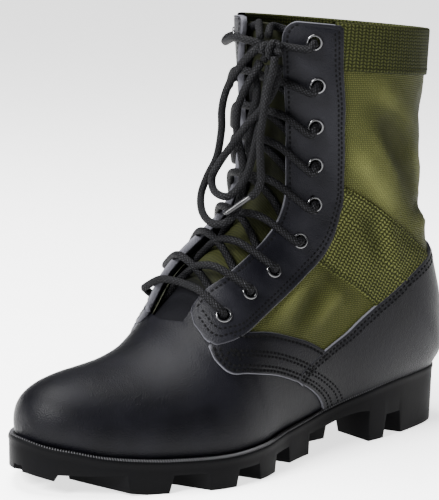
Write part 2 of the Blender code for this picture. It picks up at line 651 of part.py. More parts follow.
def build_outsole():
    """Sole with its bed, edge lip and lugs: a body down to the lug bottoms, with the grooves cut out."""
    lip, lip_height, edge_draft = 1.0, 1.2, 0.6
    rows = []
    for y in sole_stations():
        left, right = sides_at(SOLE_EDGE, y)
        half = (right - left) / 2
        lip_here, draft_here = min(lip, half * 0.2), min(edge_draft, half * 0.2)
        bed, low = float(sole_bed(y)), float(lug_bottom(y))
        rows.append([
            (right - draft_here, y, low), (right, y, bed - lip_height * 3), (right, y, bed - lip_height),
            (right - lip_here, y, bed), (left + lip_here, y, bed), (left, y, bed - lip_height),
            (left, y, bed - lip_height * 3), (left + draft_here, y, low),
        ])
    corners = len(rows[0])
    points = [p for row in rows for p in row]
    faces = [list(range(corners))[::-1], [len(points) - corners + k for k in range(corners)]]
    for r in range(len(rows) - 1):
        for k in range(corners):
            a, b = r * corners + k, r * corners + (k + 1) % corners
            faces.append([a, b, b + corners, a + corners])
    sole = solid("outsole", points, faces, BLACK_RUBBER)
    cut(sole, groove_cutter(), "DIFFERENCE")
    cut(sole, channel_cutter(), "DIFFERENCE")
    cut(sole, arch_cutter(), "DIFFERENCE")
    cut(sole, shank_lug(), "UNION")
    return sole


def fix_normals(obj):
    shape = bmesh.new()
    shape.from_mesh(obj.data)
    bmesh.ops.recalc_face_normals(shape, faces=shape.faces)
    shape.to_mesh(obj.data)
    shape.free()


def cut(obj, cutter, operation):
    boolean(obj, as_cutter(cutter), operation)


def groove_walls(y):
    """Plan line of a groove's wall: from each edge it runs inwards and forwards, to a point at the middle."""
    lean = math.tan(GROOVE_ANGLE)
    return [
        (FOOT_CENTRE_X + side * SIDE_REACH, y + (abs(side) * SIDE_REACH - GROOVE_EDGE) * lean) for side in (-1, 0, 1)
    ]


def groove_cutter():
    """All the grooves across the tread, each wider at the floor than at its root."""
    points, faces = [], []
    for _, front, rear in GROOVES + (HEEL_GROOVE,):
        root = float(sole_base((front + rear) / 2))
        growth = (root - BELOW_FLOOR) * LUG_DRAFT
        front_wall, rear_wall = groove_walls(front), groove_walls(rear)[::-1]
        base = len(points)
        points += [(x, y, root) for x, y in front_wall + rear_wall]
        points += [(x, y - growth, BELOW_FLOOR) for x, y in front_wall]
        points += [(x, y + growth, BELOW_FLOOR) for x, y in rear_wall]
        faces += prism_faces(base, len(front_wall + rear_wall))
    return solid("groove_cutter", points, faces)


def prism_faces(base, count):
    """Faces of a closed prism whose two rings of points follow each other."""
    faces = [[base + k for k in range(count)], [base + 2 * count - 1 - k for k in range(count)]]
    for k in range(count):
        after = (k + 1) % count
        faces.append([base + k, base + k + count, base + after + count, base + after])
    return faces


def solid(name, points, faces, colour=None):
    """A closed mesh object with its faces turned outwards."""
    made = make_object(name, points, faces, colour)
    fix_normals(made)
    return made


def channel_cutter():
    """The channel down the middle that parts the lateral lugs from the medial ones."""
    half, lean, overrun, sway = CENTRE_CHANNEL_WIDTH / 2, GROOVE_EDGE * math.tan(GROOVE_ANGLE), 3.0, 3.0
    points, faces = [], []
    for number, (before, after) in enumerate(zip(GROOVES[:-1], GROOVES[1:])):
        centre = FOOT_CENTRE_X + (sway if number % 2 else -sway)
        low, high = before[2] - lean - overrun, after[1] - lean + overrun
        root = float(sole_base((low + high) / 2)) - CHANNEL_STEP
        ring = [(centre - half, low), (centre + half, low), (centre + half, high), (centre - half, high)]
        base = len(points)
        points += [(x, y, root) for x, y in ring] + [(x, y, BELOW_FLOOR) for x, y in ring]
        faces += prism_faces(base, len(ring))
    return solid("channel_cutter", points, faces)


def arch_cutter():
    """The open arch between the tread and the heel."""
    _, front, rear = ARCH_CUT
    floor_line = [(y, BELOW_FLOOR) for y in (rear, front)]
    ring = floor_line + [(y, float(sole_base(y))) for y in np.linspace(front, rear, 8)]
    points = [(side * SIDE_REACH, y, z) for side in (LATERAL, MEDIAL) for y, z in ring]
    return solid("arch_cutter", points, prism_faces(0, len(ring)))


def shank_lug():
    """The bar under the arch, set in from the sole's edge."""
    _, left, right, front, rear = SHANK_LUG
    draft, sunk = 2.0, 2.0
    top = float(sole_base(rear)) + sunk
    points = [(x, y, top) for x, y in ((left, front), (right, front), (right, rear), (left, rear))]
    left, right, front, rear = left + draft, right - draft, front + draft, rear - draft
    points += [(x, y, 0.0) for x, y in ((left, front), (right, front), (right, rear), (left, rear))]
    return solid("shank_lug", points, prism_faces(0, 4))


def build_insole():
    outline = inset_curve(FEATHER, np.full(len(FEATHER), INSOLE_INSET))
    ring = resampled(np.vstack([outline, outline[:1]]), 61)[:-1]
    middle = [(FOOT_CENTRE_X, y) for y in np.linspace(ring[:, 1].min() + 6, ring[:, 1].max() - 6, 14)]
    shape = bmesh.new()
    edge = [shape.verts.new((x * MM, y * MM, 0.0)) for x, y in ring]
    inner = [shape.verts.new((x * MM, y * MM, 0.0)) for x, y in middle]
    edges = [shape.edges.new((edge[k], edge[(k + 1) % len(edge)])) for k in range(len(edge))]
    edges += [shape.edges.new(pair) for pair in zip(inner[:-1], inner[1:])]
    bmesh.ops.triangle_fill(shape, edges=edges, use_beauty=True)
    for v in shape.verts:
        v.co.z = (float(sole_bed(v.co.y / MM)) + 2 * GAP) * MM
    made = bmesh.ops.extrude_face_region(shape, geom=list(shape.faces))
    lift = [v for v in made["geom"] if isinstance(v, bmesh.types.BMVert)]
    bmesh.ops.translate(shape, verts=lift, vec=(0, 0, INSOLE_THICKNESS * MM))
    bmesh.ops.recalc_face_normals(shape, faces=shape.faces)
    mesh = bpy.data.meshes.new("insole")
    shape.to_mesh(mesh)
    shape.free()
    obj = bpy.data.objects.new("insole", mesh)
    bpy.context.scene.collection.objects.link(obj)
    mesh.materials.append(material(*INSOLE_FELT))
    return obj


def circle(centre, axis, radius, sides):
    """Points of a circle about an axis."""
    first = np.cross(axis, (0.0, 0.3, 1.0))
    first /= np.linalg.norm(first)
    second = np.cross(axis, first)
    angles = [2 * math.pi * (k + 0.5) / sides for k in range(sides)]
    return [centre + (first * math.cos(a) + second * math.sin(a)) * radius for a in angles]


def turned(name, profile, centre, axis, sides, colour):
    """Ring turned about an axis: closed profile of radius and height pairs."""
    points = []
    for radius, height in profile:
        points += circle(centre + axis * height, axis, radius, sides)
    faces = []
    for row in range(len(profile)):
        after = (row + 1) % len(profile)
        for k in range(sides):
            turn = (k + 1) % sides
            faces.append([row * sides + k, row * sides + turn, after * sides + turn, after * sides + k])
    return solid(name, points, faces, colour)


class Eyelet:
    """Place of one eyelet: its point on the last and the axis of its hole."""

    def __init__(self, side, y, z):
        self.side = side
        self.place, self.share = on_side(side, y, z)
        self.point = on_last(side, self.place, self.share)
        self.axis = last_normal(side, self.place, self.share)


def eyelet_pairs():
    pairs = []
    for _, y, z, medial_y, medial_z in EYELETS:
        pairs.append((Eyelet(LATERAL, y, z), Eyelet(MEDIAL, medial_y, medial_z)))
    return pairs


def hole_cutter(name, eyelets):
    """One mesh of pins that cuts every eyelet's hole on one side."""
    points, faces = [], []
    sides, reach = 6, 6.0
    for eyelet in eyelets:
        base = len(points)
        for height in (reach, -reach):
            points += circle(eyelet.point + eyelet.axis * height, eyelet.axis, HOLE_RADIUS, sides)
        faces += prism_faces(base, sides)
    return as_cutter(solid(name, points, faces))


def build_upper(surface, cutters):
    points, faces = surface.shell(-WALL, 0.0)
    upper = make_object("upper", points, faces, OLIVE_NYLON)
    for cutter in cutters:
        boolean(upper, cutter, "DIFFERENCE")
    return upper


def build_tongue():
    surface = Surface()
    root = 10.2
    places = [root, 10.5, 11.0, 11.6, 12, 13, 14, 15, 16, 17, 18, 19, 20, 21, 22, 23, 24, 25, 26, 27, 28.2]
    depths = []
    for place in places:
        row = []
        for side, order in ((LATERAL, (0.0, 0.35, 0.7)), (MEDIAL, (1.0, 0.7, 0.35, 0.0))):
            edge = share_at(side, place, throat_distance(side, place) + TONGUE_LAP)
            row += [on_last(side, place, edge + (1 - edge) * part) for part in order]
        depths.append(row)
    surface.grid(depths)
    ramp = [root, 10.5, 11.6, 30.0]
    sink = [TONGUE_ROOT_DEPTH, TONGUE_ROOT_DEPTH, TONGUE_DEPTH, TONGUE_DEPTH]
    high = np.empty(len(surface.points))
    for place, row in zip(places, depths):
        for p in row:
            high[surface.point(p)] = -np.interp(place, ramp, sink)
    points, faces = surface.shell(high - TONGUE_THICKNESS, high)
    return make_object("tongue", points, faces, OLIVE_NYLON)


def side_range(side, overlap):
    """The x range of a cutter that works on one side of the boot, or on both."""
    middle = FOOT_CENTRE_X + overlap
    return (middle if side == LATERAL else -SIDE_REACH), (middle if side == MEDIAL else SIDE_REACH)


def overlay(name, surface, thickness, colour, outline, side, removed=(), holes=None):
    """A piece of the skin over the upper, inside a side view outline."""
    points, faces = surface.shell(GAP, GAP + thickness)
    piece = make_object(name, points, faces, colour)
    cut(piece, prism(name + "_outline", outline, *side_range(side, 3.0)), "INTERSECT")
    for number, (hole_side, hole) in enumerate(removed):
        cut(piece, prism(f"{name}_clearance_{number}", hole, *side_range(hole_side, 0.0)), "DIFFERENCE")
    if holes:
        boolean(piece, holes, "DIFFERENCE")
    return piece


def eyestay_outline(side, margin):
    back = EYESTAY_BACK_LATERAL if side == LATERAL else EYESTAY_BACK_MEDIAL
    tip = EYESTAY_TIP_LATERAL if side == LATERAL else EYESTAY_TIP_MEDIAL
    line = shifted(np.array(back + tip, float), margin)
    return [tuple(p) for p in smooth_route(line, EYESTAY_SPACING)] + list(THROAT_FRONT)


def panel_outline(side):
    back = EYESTAY_BACK_LATERAL if side == LATERAL else EYESTAY_BACK_MEDIAL
    tip = EYESTAY_TIP_LATERAL if side == LATERAL else EYESTAY_TIP_MEDIAL
    bottom = [tuple(p) for p in shifted(PANEL_BOTTOM, SEAM / 2)]
    counter = [tuple(p) for p in shifted(COUNTER_TOP[:3], SEAM)]
    return bottom[:-1] + [(8.4, 47.6)] + counter[:2] + list(PANEL_TOP) + [back[-1], *tip[:2]]


def counter_outline():
    return list(COUNTER_TOP) + list(COUNTER_FRONT)


def build_overlays(surface, cutters):
    stay_clear = {side: eyestay_outline(side, SEAM) for side in (LATERAL, MEDIAL)}
    for side, word in ((LATERAL, "lateral"), (MEDIAL, "medial")):
        overlay(f"eyestay_{word}", surface, LEATHER, BLACK_LEATHER, eyestay_outline(side, 0.0), side,
                holes=cutters[0 if side == LATERAL else 1])
        overlay(f"side_panel_{word}", surface, LEATHER, BLACK_LEATHER, panel_outline(side), side,
                removed=[(side, stay_clear[side])])
        band = list(BAND_TOP) + list(BAND_BOTTOM)
        overlay(f"ankle_band_{word}", surface, WEBBING, OLIVE_WEBBING, band, side,
                removed=[(side, stay_clear[side]), (None, counter_clear())])
    overlay("heel_counter", surface, LEATHER, BLACK_LEATHER, counter_outline(), None)
    top = [(135.0, 262.0), (20.0, 262.0)]
    overlay("collar_band", surface, WEBBING, OLIVE_WEBBING, list(COLLAR_BOTTOM) + top, None,
            removed=[(LATERAL, stay_clear[LATERAL]), (MEDIAL, stay_clear[MEDIAL])])


def counter_clear():
    top = [tuple(p) for p in shifted(COUNTER_TOP, SEAM)]
    return top + [(165.0, 5.0), (9.0, 5.0)]


def build_eyelets(pairs):
    top = GAP + LEATHER + 0.55
    for (label, *_), pair in zip(EYELETS, pairs):
        for eyelet, word in zip(pair, ("lateral", "medial")):
            profile = (
                (BARREL_INNER, top + FLANGE_HEIGHT), (BARREL_INNER, -WALL - 0.6),
                (BARREL_OUTER, -WALL - 0.6), (BARREL_OUTER, top), (FLANGE_RADIUS, top),
            )
            ring = turned(f"eyelet_{word}_{label}", profile, eyelet.point, eyelet.axis, 8, BLACK_ENAMEL)
            ring.data.shade_smooth()
            ring.data.set_sharp_from_angle(angle=math.radians(40))


def beside(eyelet, other, steps):
    """Points beside an eyelet: distance from its axis towards the other one, height."""
    toward = other.point - eyelet.point
    toward = toward - eyelet.axis * (toward @ eyelet.axis)
    toward /= np.linalg.norm(toward)
    return [eyelet.point + toward * out + eyelet.axis * height for out, height in steps]


def above_last(start, end, share, height):
    """Point at a height above the last, at a share of the way from one eyelet to the other."""
    place = start.place * (1 - share) + end.place * share
    across = start.share * (1 - share) + (2 - end.share) * share
    side, part = (start.side, across) if across <= 1 else (-start.side, 2 - across)
    return on_last(side, place, part) + last_normal(side, place, part) * height


def crossing_route(start, end, heights, first):
    """A lace's middle line from one eyelet to the other, over the last's own surface."""
    middle = [above_last(start, end, share, height) for share, height in heights]
    return np.array(beside(start, end, first) + middle + beside(end, start, ENTRY))


def tube(name, route, radius, sides, colour):
    """Closed tube of a few flat sides along a route."""
    along = np.gradient(route, axis=0)
    along /= np.linalg.norm(along, axis=1)[:, None]
    across = np.cross(along[0], (0.31, 0.2, 0.93))
    points = []
    for centre, direction in zip(route, along):
        across = across - direction * (across @ direction)
        across /= np.linalg.norm(across)
        other = np.cross(direction, across)
        for k in range(sides):
            angle = 2 * math.pi * k / sides
            points.append(centre + (across * math.cos(angle) + other * math.sin(angle)) * radius)
    count = len(route)
    faces = [list(range(sides)), [(count - 1) * sides + k for k in range(sides)]]
    for row in range(count - 1):
        for k in range(sides):
            a, b = row * sides + k, row * sides + (k + 1) % sides
            faces.append([a, b, b + sides, a + sides])
    return solid(name, points, faces, colour)


def build_laces(pairs):
    """The bar over the lowest pair of eyelets, and one solid for each two laces that cross."""
    sides = 5
    lateral, medial = pairs[-1]
    tube("lace_bar", crossing_route(lateral, medial, BAR_HEIGHTS, ENTRY[::-1]), LACE_RADIUS, sides, BLACK_CORD)
    for number, (high, low) in enumerate(zip(pairs[:-1], pairs[1:]), 1):
        name = f"lace_cross_{number}"
        routes = [
            crossing_route(start, end, CROSSING_HEIGHTS, EXIT) for start, end in ((low[0], high[1]), (low[1], high[0]))
        ]
        crossing = tube(name, routes[0], LACE_RADIUS, sides, BLACK_CORD)
        cut(crossing, tube(name + "_other", routes[1], LACE_RADIUS, sides, None), "UNION")


def cord(name, route):
    """A free cord as a bevelled curve."""
    data = bpy.data.curves.new(name, "CURVE")
    data.dimensions = "3D"
    data.bevel_depth = LACE_RADIUS * MM
    data.bevel_resolution = 2
    data.use_fill_caps = True
    points = smooth_route(route, CORD_SPACING)
    spline = data.splines.new("POLY")
    spline.points.add(len(points) - 1)
    for target, point in zip(spline.points, points):
        target.co = (*[value * MM for value in point], 1.0)
    obj = bpy.data.objects.new(name, data)
    bpy.context.scene.collection.objects.link(obj)
    data.materials.append(material(*BLACK_CORD))
    return obj


def build_bow(top_pair):
    """The knot, its two loops and two ends, and the two cords that lead up to it from the top eyelets."""
    shape = bmesh.new()
    bmesh.ops.create_uvsphere(shape, u_segments=10, v_segments=6, radius=1.0)
    for v in shape.verts:
        v.co = Vector([c + d * r for c, d, r in zip(KNOT, v.co, KNOT_RADII)]) * MM
    mesh = bpy.data.meshes.new("bow_knot")
    shape.to_mesh(mesh)
    shape.free()
    knot = bpy.data.objects.new("bow_knot", mesh)
    bpy.context.scene.collection.objects.link(knot)
    mesh.materials.append(material(*BLACK_CORD))
    cord("bow_loop_outer", OUTER_LOOP)
    cord("bow_loop_inner", INNER_LOOP)
    cord("bow_end_long", LONG_END)
    cord("bow_end_short", SHORT_END)
    lateral, medial = top_pair
    for name, start, end, inside, last in (
        ("lace_lead_lateral", lateral, medial, LEAD_LATERAL, LEAD_LATERAL_END),
        ("lace_lead_medial", medial, lateral, LEAD_MEDIAL, LEAD_MEDIAL_END),
    ):
        way = [above_last(start, end, share, height) + (0.0, 0.0, rise) for share, height, rise in inside]
        cord(name, beside(start, end, LEAD_START) + way + [np.array(last)])


def main():
    clear_scene()
    surface = upper_surface()
    pairs = eyelet_pairs()
    cutters = [hole_cutter("holes_lateral", [pair[0] for pair in pairs]),
               hole_cutter("holes_medial", [pair[1] for pair in pairs])]
    build_outsole()
    build_insole()
    build_upper(surface, cutters)
    build_tongue()
    build_overlays(surface, cutters)
    build_eyelets(pairs)
    build_laces(pairs)
    build_bow(pairs[0])


main()
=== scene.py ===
"""The looks of the left jungle boot: its skins, seams, rings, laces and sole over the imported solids.

All tables are in millimetres, in the solids' own frame: lateral side at +X, toe at -Y, up at +Z.
"""

import math

import bmesh
import bpy
import numpy as np
from mathutils import Matrix, Vector
from mathutils.geometry import delaunay_2d_cdt


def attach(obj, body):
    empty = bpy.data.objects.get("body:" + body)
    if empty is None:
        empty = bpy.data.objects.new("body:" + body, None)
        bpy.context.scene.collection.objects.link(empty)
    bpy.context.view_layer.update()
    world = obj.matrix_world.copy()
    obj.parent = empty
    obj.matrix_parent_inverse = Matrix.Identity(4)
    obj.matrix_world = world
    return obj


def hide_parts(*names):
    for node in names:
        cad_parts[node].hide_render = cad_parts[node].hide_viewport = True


bl_info = {
    "name": "Jungle boot",
    "version": (1, 0, 0),
    "blender": (4, 2, 0),
    "location": "View3D > Sidebar > Jungle boot",
    "description": "Makes the skins, seams, laces, sole and finishes of a left jungle boot",
    "category": "Object",
}

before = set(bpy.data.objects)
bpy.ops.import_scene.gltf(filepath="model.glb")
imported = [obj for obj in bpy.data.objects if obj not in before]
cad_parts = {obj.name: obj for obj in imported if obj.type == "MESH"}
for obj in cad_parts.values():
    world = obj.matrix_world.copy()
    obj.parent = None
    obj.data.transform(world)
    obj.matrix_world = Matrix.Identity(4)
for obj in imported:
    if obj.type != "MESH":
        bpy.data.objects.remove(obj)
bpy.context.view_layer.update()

MM = 0.001
# Clear space between a piece and what it lies on
GAP = 0.3
# Spacing of the points along the edges and seams, and along the cords
LINE_SPACING, CORD_SPACING = 1.5, 1.6
FOOT_CENTRE_X = -4.0
GROOVE_ANGLE = math.radians(27.0)
GROOVE_EDGE = 48.0
SIDE_REACH = 90.0
BELOW_FLOOR = -6.0
LUG_DRAFT = 0.16
THROAT_STATION = 10.9
LATERAL, MEDIAL = 1, -1
SIDE_WORD = {LATERAL: "lateral", MEDIAL: "medial"}

# Sole outline seen from above, toe at -Y, one closed smooth curve
OUTLINE = (
    ("heel_back", -4.0, 152.5),
    ("heel_back_lateral", 17.0, 142.5),
    ("heel_lateral", 27.5, 116.0),
    ("heel_breast_lateral", 33.5, 76.0),
    ("waist_lateral", 30.5, 38.0),
    ("waist_front_lateral", 39.5, 4.0),
    ("ball_rear_lateral", 52.5, -26.0),
    ("ball_lateral", 55.0, -56.0),
    ("toe_lateral", 42.0, -92.0),
    ("toe_corner_lateral", 24.5, -129.0),
    ("toe_tip", -7.0, -152.5),
    ("toe_corner_medial", -39.5, -133.0),
    ("toe_medial", -54.0, -98.0),
    ("ball_medial", -54.5, -60.0),
    ("ball_rear_medial", -45.5, -22.0),
    ("waist_medial", -36.5, 16.0),
    ("waist_rear_medial", -35.5, 54.0),
    ("heel_medial", -38.5, 94.0),
    ("heel_back_medial", -31.0, 133.0),
)

# Heights along the sole: y, bed under the upper, base between the lugs, lug bottoms
SOLE_HEIGHTS = (
    ("toe_tip", -152.5, 30.5, 17.0, 12.0),
    ("toe_lug", -144.0, 27.0, 15.5, 9.2),
    ("toe_lug_rear", -133.0, 24.8, 14.5, 6.2),
    ("first_groove", -121.0, 22.0, 12.8, 3.6),
    ("spring_end", -104.0, 19.5, 11.2, 0.9),
    ("tread_front", -98.0, 18.9, 10.8, 0.0),
    ("ball_front", -88.0, 18.2, 10.3, 0.0),
    ("ball", -60.0, 18.0, 10.0, 0.0),
    ("ball_rear", -30.0, 18.6, 9.6, 0.0),
    ("waist_front", 0.0, 19.6, 10.2, 0.0),
    ("waist", 22.0, 20.8, 11.8, 0.0),
    ("arch_front", 40.0, 24.0, 14.2, 0.0),
    ("arch", 52.0, 27.2, 17.4, 0.0),
    ("arch_rear", 66.0, 30.6, 19.4, 0.0),
    ("heel_breast", 82.0, 33.4, 17.0, 0.0),
    ("heel_gap", 100.0, 35.0, 14.2, 0.0),
    ("heel", 125.0, 35.6, 14.0, 0.0),
    ("heel_back", 152.5, 35.8, 14.0, 0.0),
)

# Ledge of the sole outside the upper: y, width
WELT = (
    ("toe", -152.5, 4.2),
    ("toe_rear", -100.0, 5.0),
    ("ball", -40.0, 4.6),
    ("waist", 0.0, 3.8),
    ("arch", 40.0, 3.0),
    ("heel", 152.5, 2.6),
)

# Grooves across the tread: y at the sole's edge of the front and the rear wall at the base
GROOVES = (
    ("toe_groove", -146.5, -140.0),
    ("second_groove", -124.5, -104.5),
    ("third_groove", -85.0, -70.5),
    ("ball_groove", -53.0, -35.5),
    ("waist_groove", -13.5, 6.0),
)
HEEL_GROOVE = ("heel_groove", 94.5, 108.5)
ARCH_CUT = ("arch_cut", 25.5, 73.0)
SHANK_LUG = ("shank_lug", -24.0, 15.0, 37.0, 57.0)
CENTRE_CHANNEL_WIDTH = 7.0
CHANNEL_STEP = 2.0

# Sections of the last, toe to collar. Keel y z is the section's low end (z None: on the sole bed),
# ridge y z its high end on the front line, ridge x its plane of symmetry, lateral and medial the widest
# half widths, depth the height of the lower curve, low and top the curves' exponents.
STATIONS = (
    ("toe_tip", -148.5, None, -148.5, 33.0, -8.0, 0.3, 0.3, 12.0, 2.4, 2.0),
    ("toe_a", -147.8, None, -147.8, 38.0, -8.0, 5.0, 6.0, 14.0, 2.4, 2.0),
    ("toe_b", -146.5, None, -146.6, 43.0, -8.0, 9.0, 10.5, 16.0, 2.4, 2.0),
    ("toe_c", -144.0, None, -144.2, 48.0, -8.0, 13.5, 15.0, 18.0, 2.4, 2.0),
    ("toe_d", -139.5, None, -140.0, 52.5, -8.0, 19.5, 21.0, 20.0, 2.4, 2.0),
    ("toe_e", -133.0, None, -133.5, 56.0, -8.0, 25.5, 27.2, 22.0, 2.4, 2.0),
    ("toe_f", -123.5, None, -124.4, 58.6, -8.0, 32.0, 33.8, 24.0, 2.4, 2.0),
    ("toe_g", -110.5, None, -112.0, 60.8, -8.0, 38.5, 39.4, 26.0, 2.4, 1.95),
    ("joint", -96.0, None, -98.0, 62.6, -7.5, 44.0, 43.6, 28.0, 2.4, 1.9),
    ("ball", -79.0, None, -82.0, 66.0, -7.0, 50.6, 45.8, 30.0, 2.3, 1.85),
    ("vamp", -60.0, None, -66.5, 73.2, -6.5, 56.8, 46.0, 32.0, 2.3, 1.85),
    ("throat", -40.0, None, -54.0, 87.5, -6.0, 57.6, 44.5, 36.0, 2.3, 1.9),
    ("instep_a", -18.0, None, -43.0, 106.0, -5.5, 53.0, 41.5, 42.0, 2.3, 1.95),
    ("instep_b", 6.0, None, -30.5, 118.5, -5.0, 45.5, 39.5, 50.0, 2.3, 2.0),
    ("instep_c", 32.0, None, -17.0, 128.5, -4.6, 41.0, 38.8, 58.0, 2.3, 2.0),
    ("waist", 60.0, None, -7.0, 138.0, -4.3, 38.8, 38.4, 64.0, 2.2, 2.0),
    ("ankle_a", 88.0, None, -0.5, 149.0, -4.1, 38.0, 38.4, 68.0, 2.2, 2.0),
    ("ankle_b", 114.0, None, 2.5, 160.0, -4.0, 38.0, 38.5, 70.0, 2.2, 2.0),
    ("heel_in", 134.0, None, 4.0, 170.0, -4.0, 38.5, 39.0, 72.0, 2.2, 2.0),
    ("heel_seat", 146.5, None, 4.5, 180.0, -4.0, 39.0, 39.5, 73.0, 2.2, 2.0),
    ("heel_back", 149.6, 36.8, 6.0, 188.0, -4.0, 39.5, 40.0, 74.0, 2.2, 2.0),
    ("counter_a", 150.4, 50.0, 5.5, 197.0, -4.0, 40.0, 40.5, 74.0, 2.2, 2.0),
    ("counter_b", 148.0, 68.0, 5.0, 206.0, -4.0, 40.5, 41.0, 73.0, 2.15, 2.0),
    ("counter_c", 142.0, 88.0, 4.5, 214.0, -4.0, 41.0, 41.5, 72.0, 2.1, 2.0),
    ("heel_cord", 134.0, 110.0, 4.0, 222.0, -4.0, 41.5, 42.0, 70.0, 2.1, 2.0),
    ("shaft_a", 128.0, 134.0, 3.5, 229.0, -4.0, 42.5, 43.0, 68.0, 2.0, 2.0),
    ("shaft_b", 126.5, 160.0, 3.2, 235.5, -4.0, 43.5, 44.0, 66.0, 2.0, 2.0),
    ("shaft_c", 127.0, 188.0, 3.0, 241.5, -4.0, 44.5, 45.0, 64.0, 2.0, 2.0),
    ("shaft_d", 127.8, 216.0, 2.8, 247.0, -4.0, 45.5, 46.0, 63.0, 2.0, 2.0),
    ("collar", 128.5, 243.0, 2.5, 252.0, -4.0, 46.0, 46.5, 62.0, 2.0, 2.0),
)
STATION_AT = {row[0]: number for number, row in enumerate(STATIONS)}

# Throat edges: station, distance from the ridge along the surface on the lateral and on the medial side
THROAT = (
    ("toe_tip", 0.2, 0.2),
    ("toe_d", 8.0, 7.0),
    ("joint", 14.0, 13.0),
    ("vamp", 15.0, 14.0),
    ("throat", 16.0, 15.0),
    ("instep_a", 20.0, 15.0),
    ("instep_b", 24.0, 15.0),
    ("instep_c", 24.0, 16.0),
    ("waist", 24.5, 19.0),
    ("ankle_a", 26.0, 21.0),
    ("ankle_b", 27.0, 21.0),
    ("heel_in", 26.0, 21.0),
    ("heel_back", 24.0, 19.0),
    ("counter_c", 22.5, 16.0),
    ("shaft_a", 21.5, 12.0),
    ("shaft_c", 20.5, 8.0),
    ("collar", 20.0, 6.0),
)

# Seam lines in the side view: y, z
EYESTAY_BACK = {LATERAL: (
    (34.5, 258.0), (36.0, 240.0), (38.0, 221.0), (41.0, 204.0), (43.1, 189.2), (45.4, 174.0),
    (46.6, 159.7), (46.8, 147.0), (43.3, 131.0), (38.2, 120.8), (31.2, 112.8), (20.5, 105.6),
    (8.9, 99.2), (-3.0, 92.8), (-14.9, 86.6), (-29.4, 80.0),
), MEDIAL: (
    (25.0, 258.0), (26.5, 240.0), (29.0, 221.0), (33.0, 204.0), (36.5, 189.2), (39.5, 174.0),
    (41.5, 159.7), (42.0, 147.0), (38.5, 132.0), (33.2, 122.0), (26.2, 114.4), (15.5, 107.4),
    (3.9, 101.0), (-8.0, 94.6), (-19.9, 88.4), (-33.4, 81.0),
)}
EYESTAY_TIP = {
    LATERAL: ((-38.5, 76.6), (-47.5, 74.2), (-50.6, 77.0), (-51.0, 84.0)),
    MEDIAL: ((-42.5, 77.4), (-51.0, 74.6), (-54.2, 77.4), (-54.6, 84.0)),
}
PANEL_BOTTOM = ((-50.6, 74.0), (-50.4, 67.2), (-44.9, 60.6), (-32.1, 59.1), (-10.2, 54.3), (9.0, 47.0))
PANEL_TOP = ((30.6, 62.4), (19.5, 68.4), (8.2, 72.6), (-10.9, 78.3), (-27.0, 80.4))
# A point given twice turns its line there
COUNTER_TOP = (
    (9.2, 50.9), (19.3, 56.5), (36.8, 64.4), (49.3, 69.8), (59.7, 76.2), (73.6, 84.3),
    (82.0, 89.0), (91.4, 95.2), (104.1, 104.6), (116.0, 111.0), (116.0, 111.0), (127.0, 115.0),
)
COUNTER_FRONT = ((39.0, 24.0), (32.0, 32.3), (21.1, 40.6), (9.0, 47.0))
BAND_TOP = ((46.0, 156.5), (66.2, 145.4), (83.7, 132.9), (101.2, 120.5), (122.0, 104.0))
BAND_BOTTOM = ((76.0, 80.0), (70.4, 85.2), (58.5, 94.6), (46.3, 102.4), (29.0, 113.5))
COLLAR_BOTTOM = ((20.0, 225.4), (36.5, 223.6), (51.1, 222.6), (78.0, 220.3), (135.0, 215.5))

# Eyelets, top to bottom: y and z in the side view on the lateral and on the medial side
EYELETS = (
    ("1", 21.4, 239.6, 14.0, 239.6),
    ("2", 25.4, 215.2, 17.5, 215.4),
    ("3", 28.0, 191.5, 20.5, 191.8),
    ("4", 29.8, 168.8, 23.5, 169.2),
    ("5", 29.8, 146.2, 24.5, 147.0),
    ("6", 20.1, 125.6, 15.0, 127.0),
    ("7", -1.1, 110.6, -5.5, 112.4),
    ("8", -20.0, 100.3, -24.5, 102.2),
    ("9", -38.7, 89.6, -43.0, 91.0),
)

# A lace's way from the eyelet it leaves, inside, to the eyelet it enters, outside:
# share of the way across, height above the last's surface
CROSSING_HEIGHTS = ((0.24, -5.2), (0.36, -4.2), (0.47, -1.4), (0.58, 2.4), (0.72, 5.4))
BAR_HEIGHTS = ((0.26, 5.6), (0.39, 2.0), (0.5, 0.4), (0.61, 2.0), (0.74, 5.6))
# Beside an eyelet: distance from its axis towards the other one, height
ENTRY = ((5.2, 7.4), (2.4, 6.8), (0.4, 4.0), (0.0, 0.25))
EXIT = ((0.0, -0.25), (0.1, -2.4), (1.8, -4.9), (4.8, -5.4))

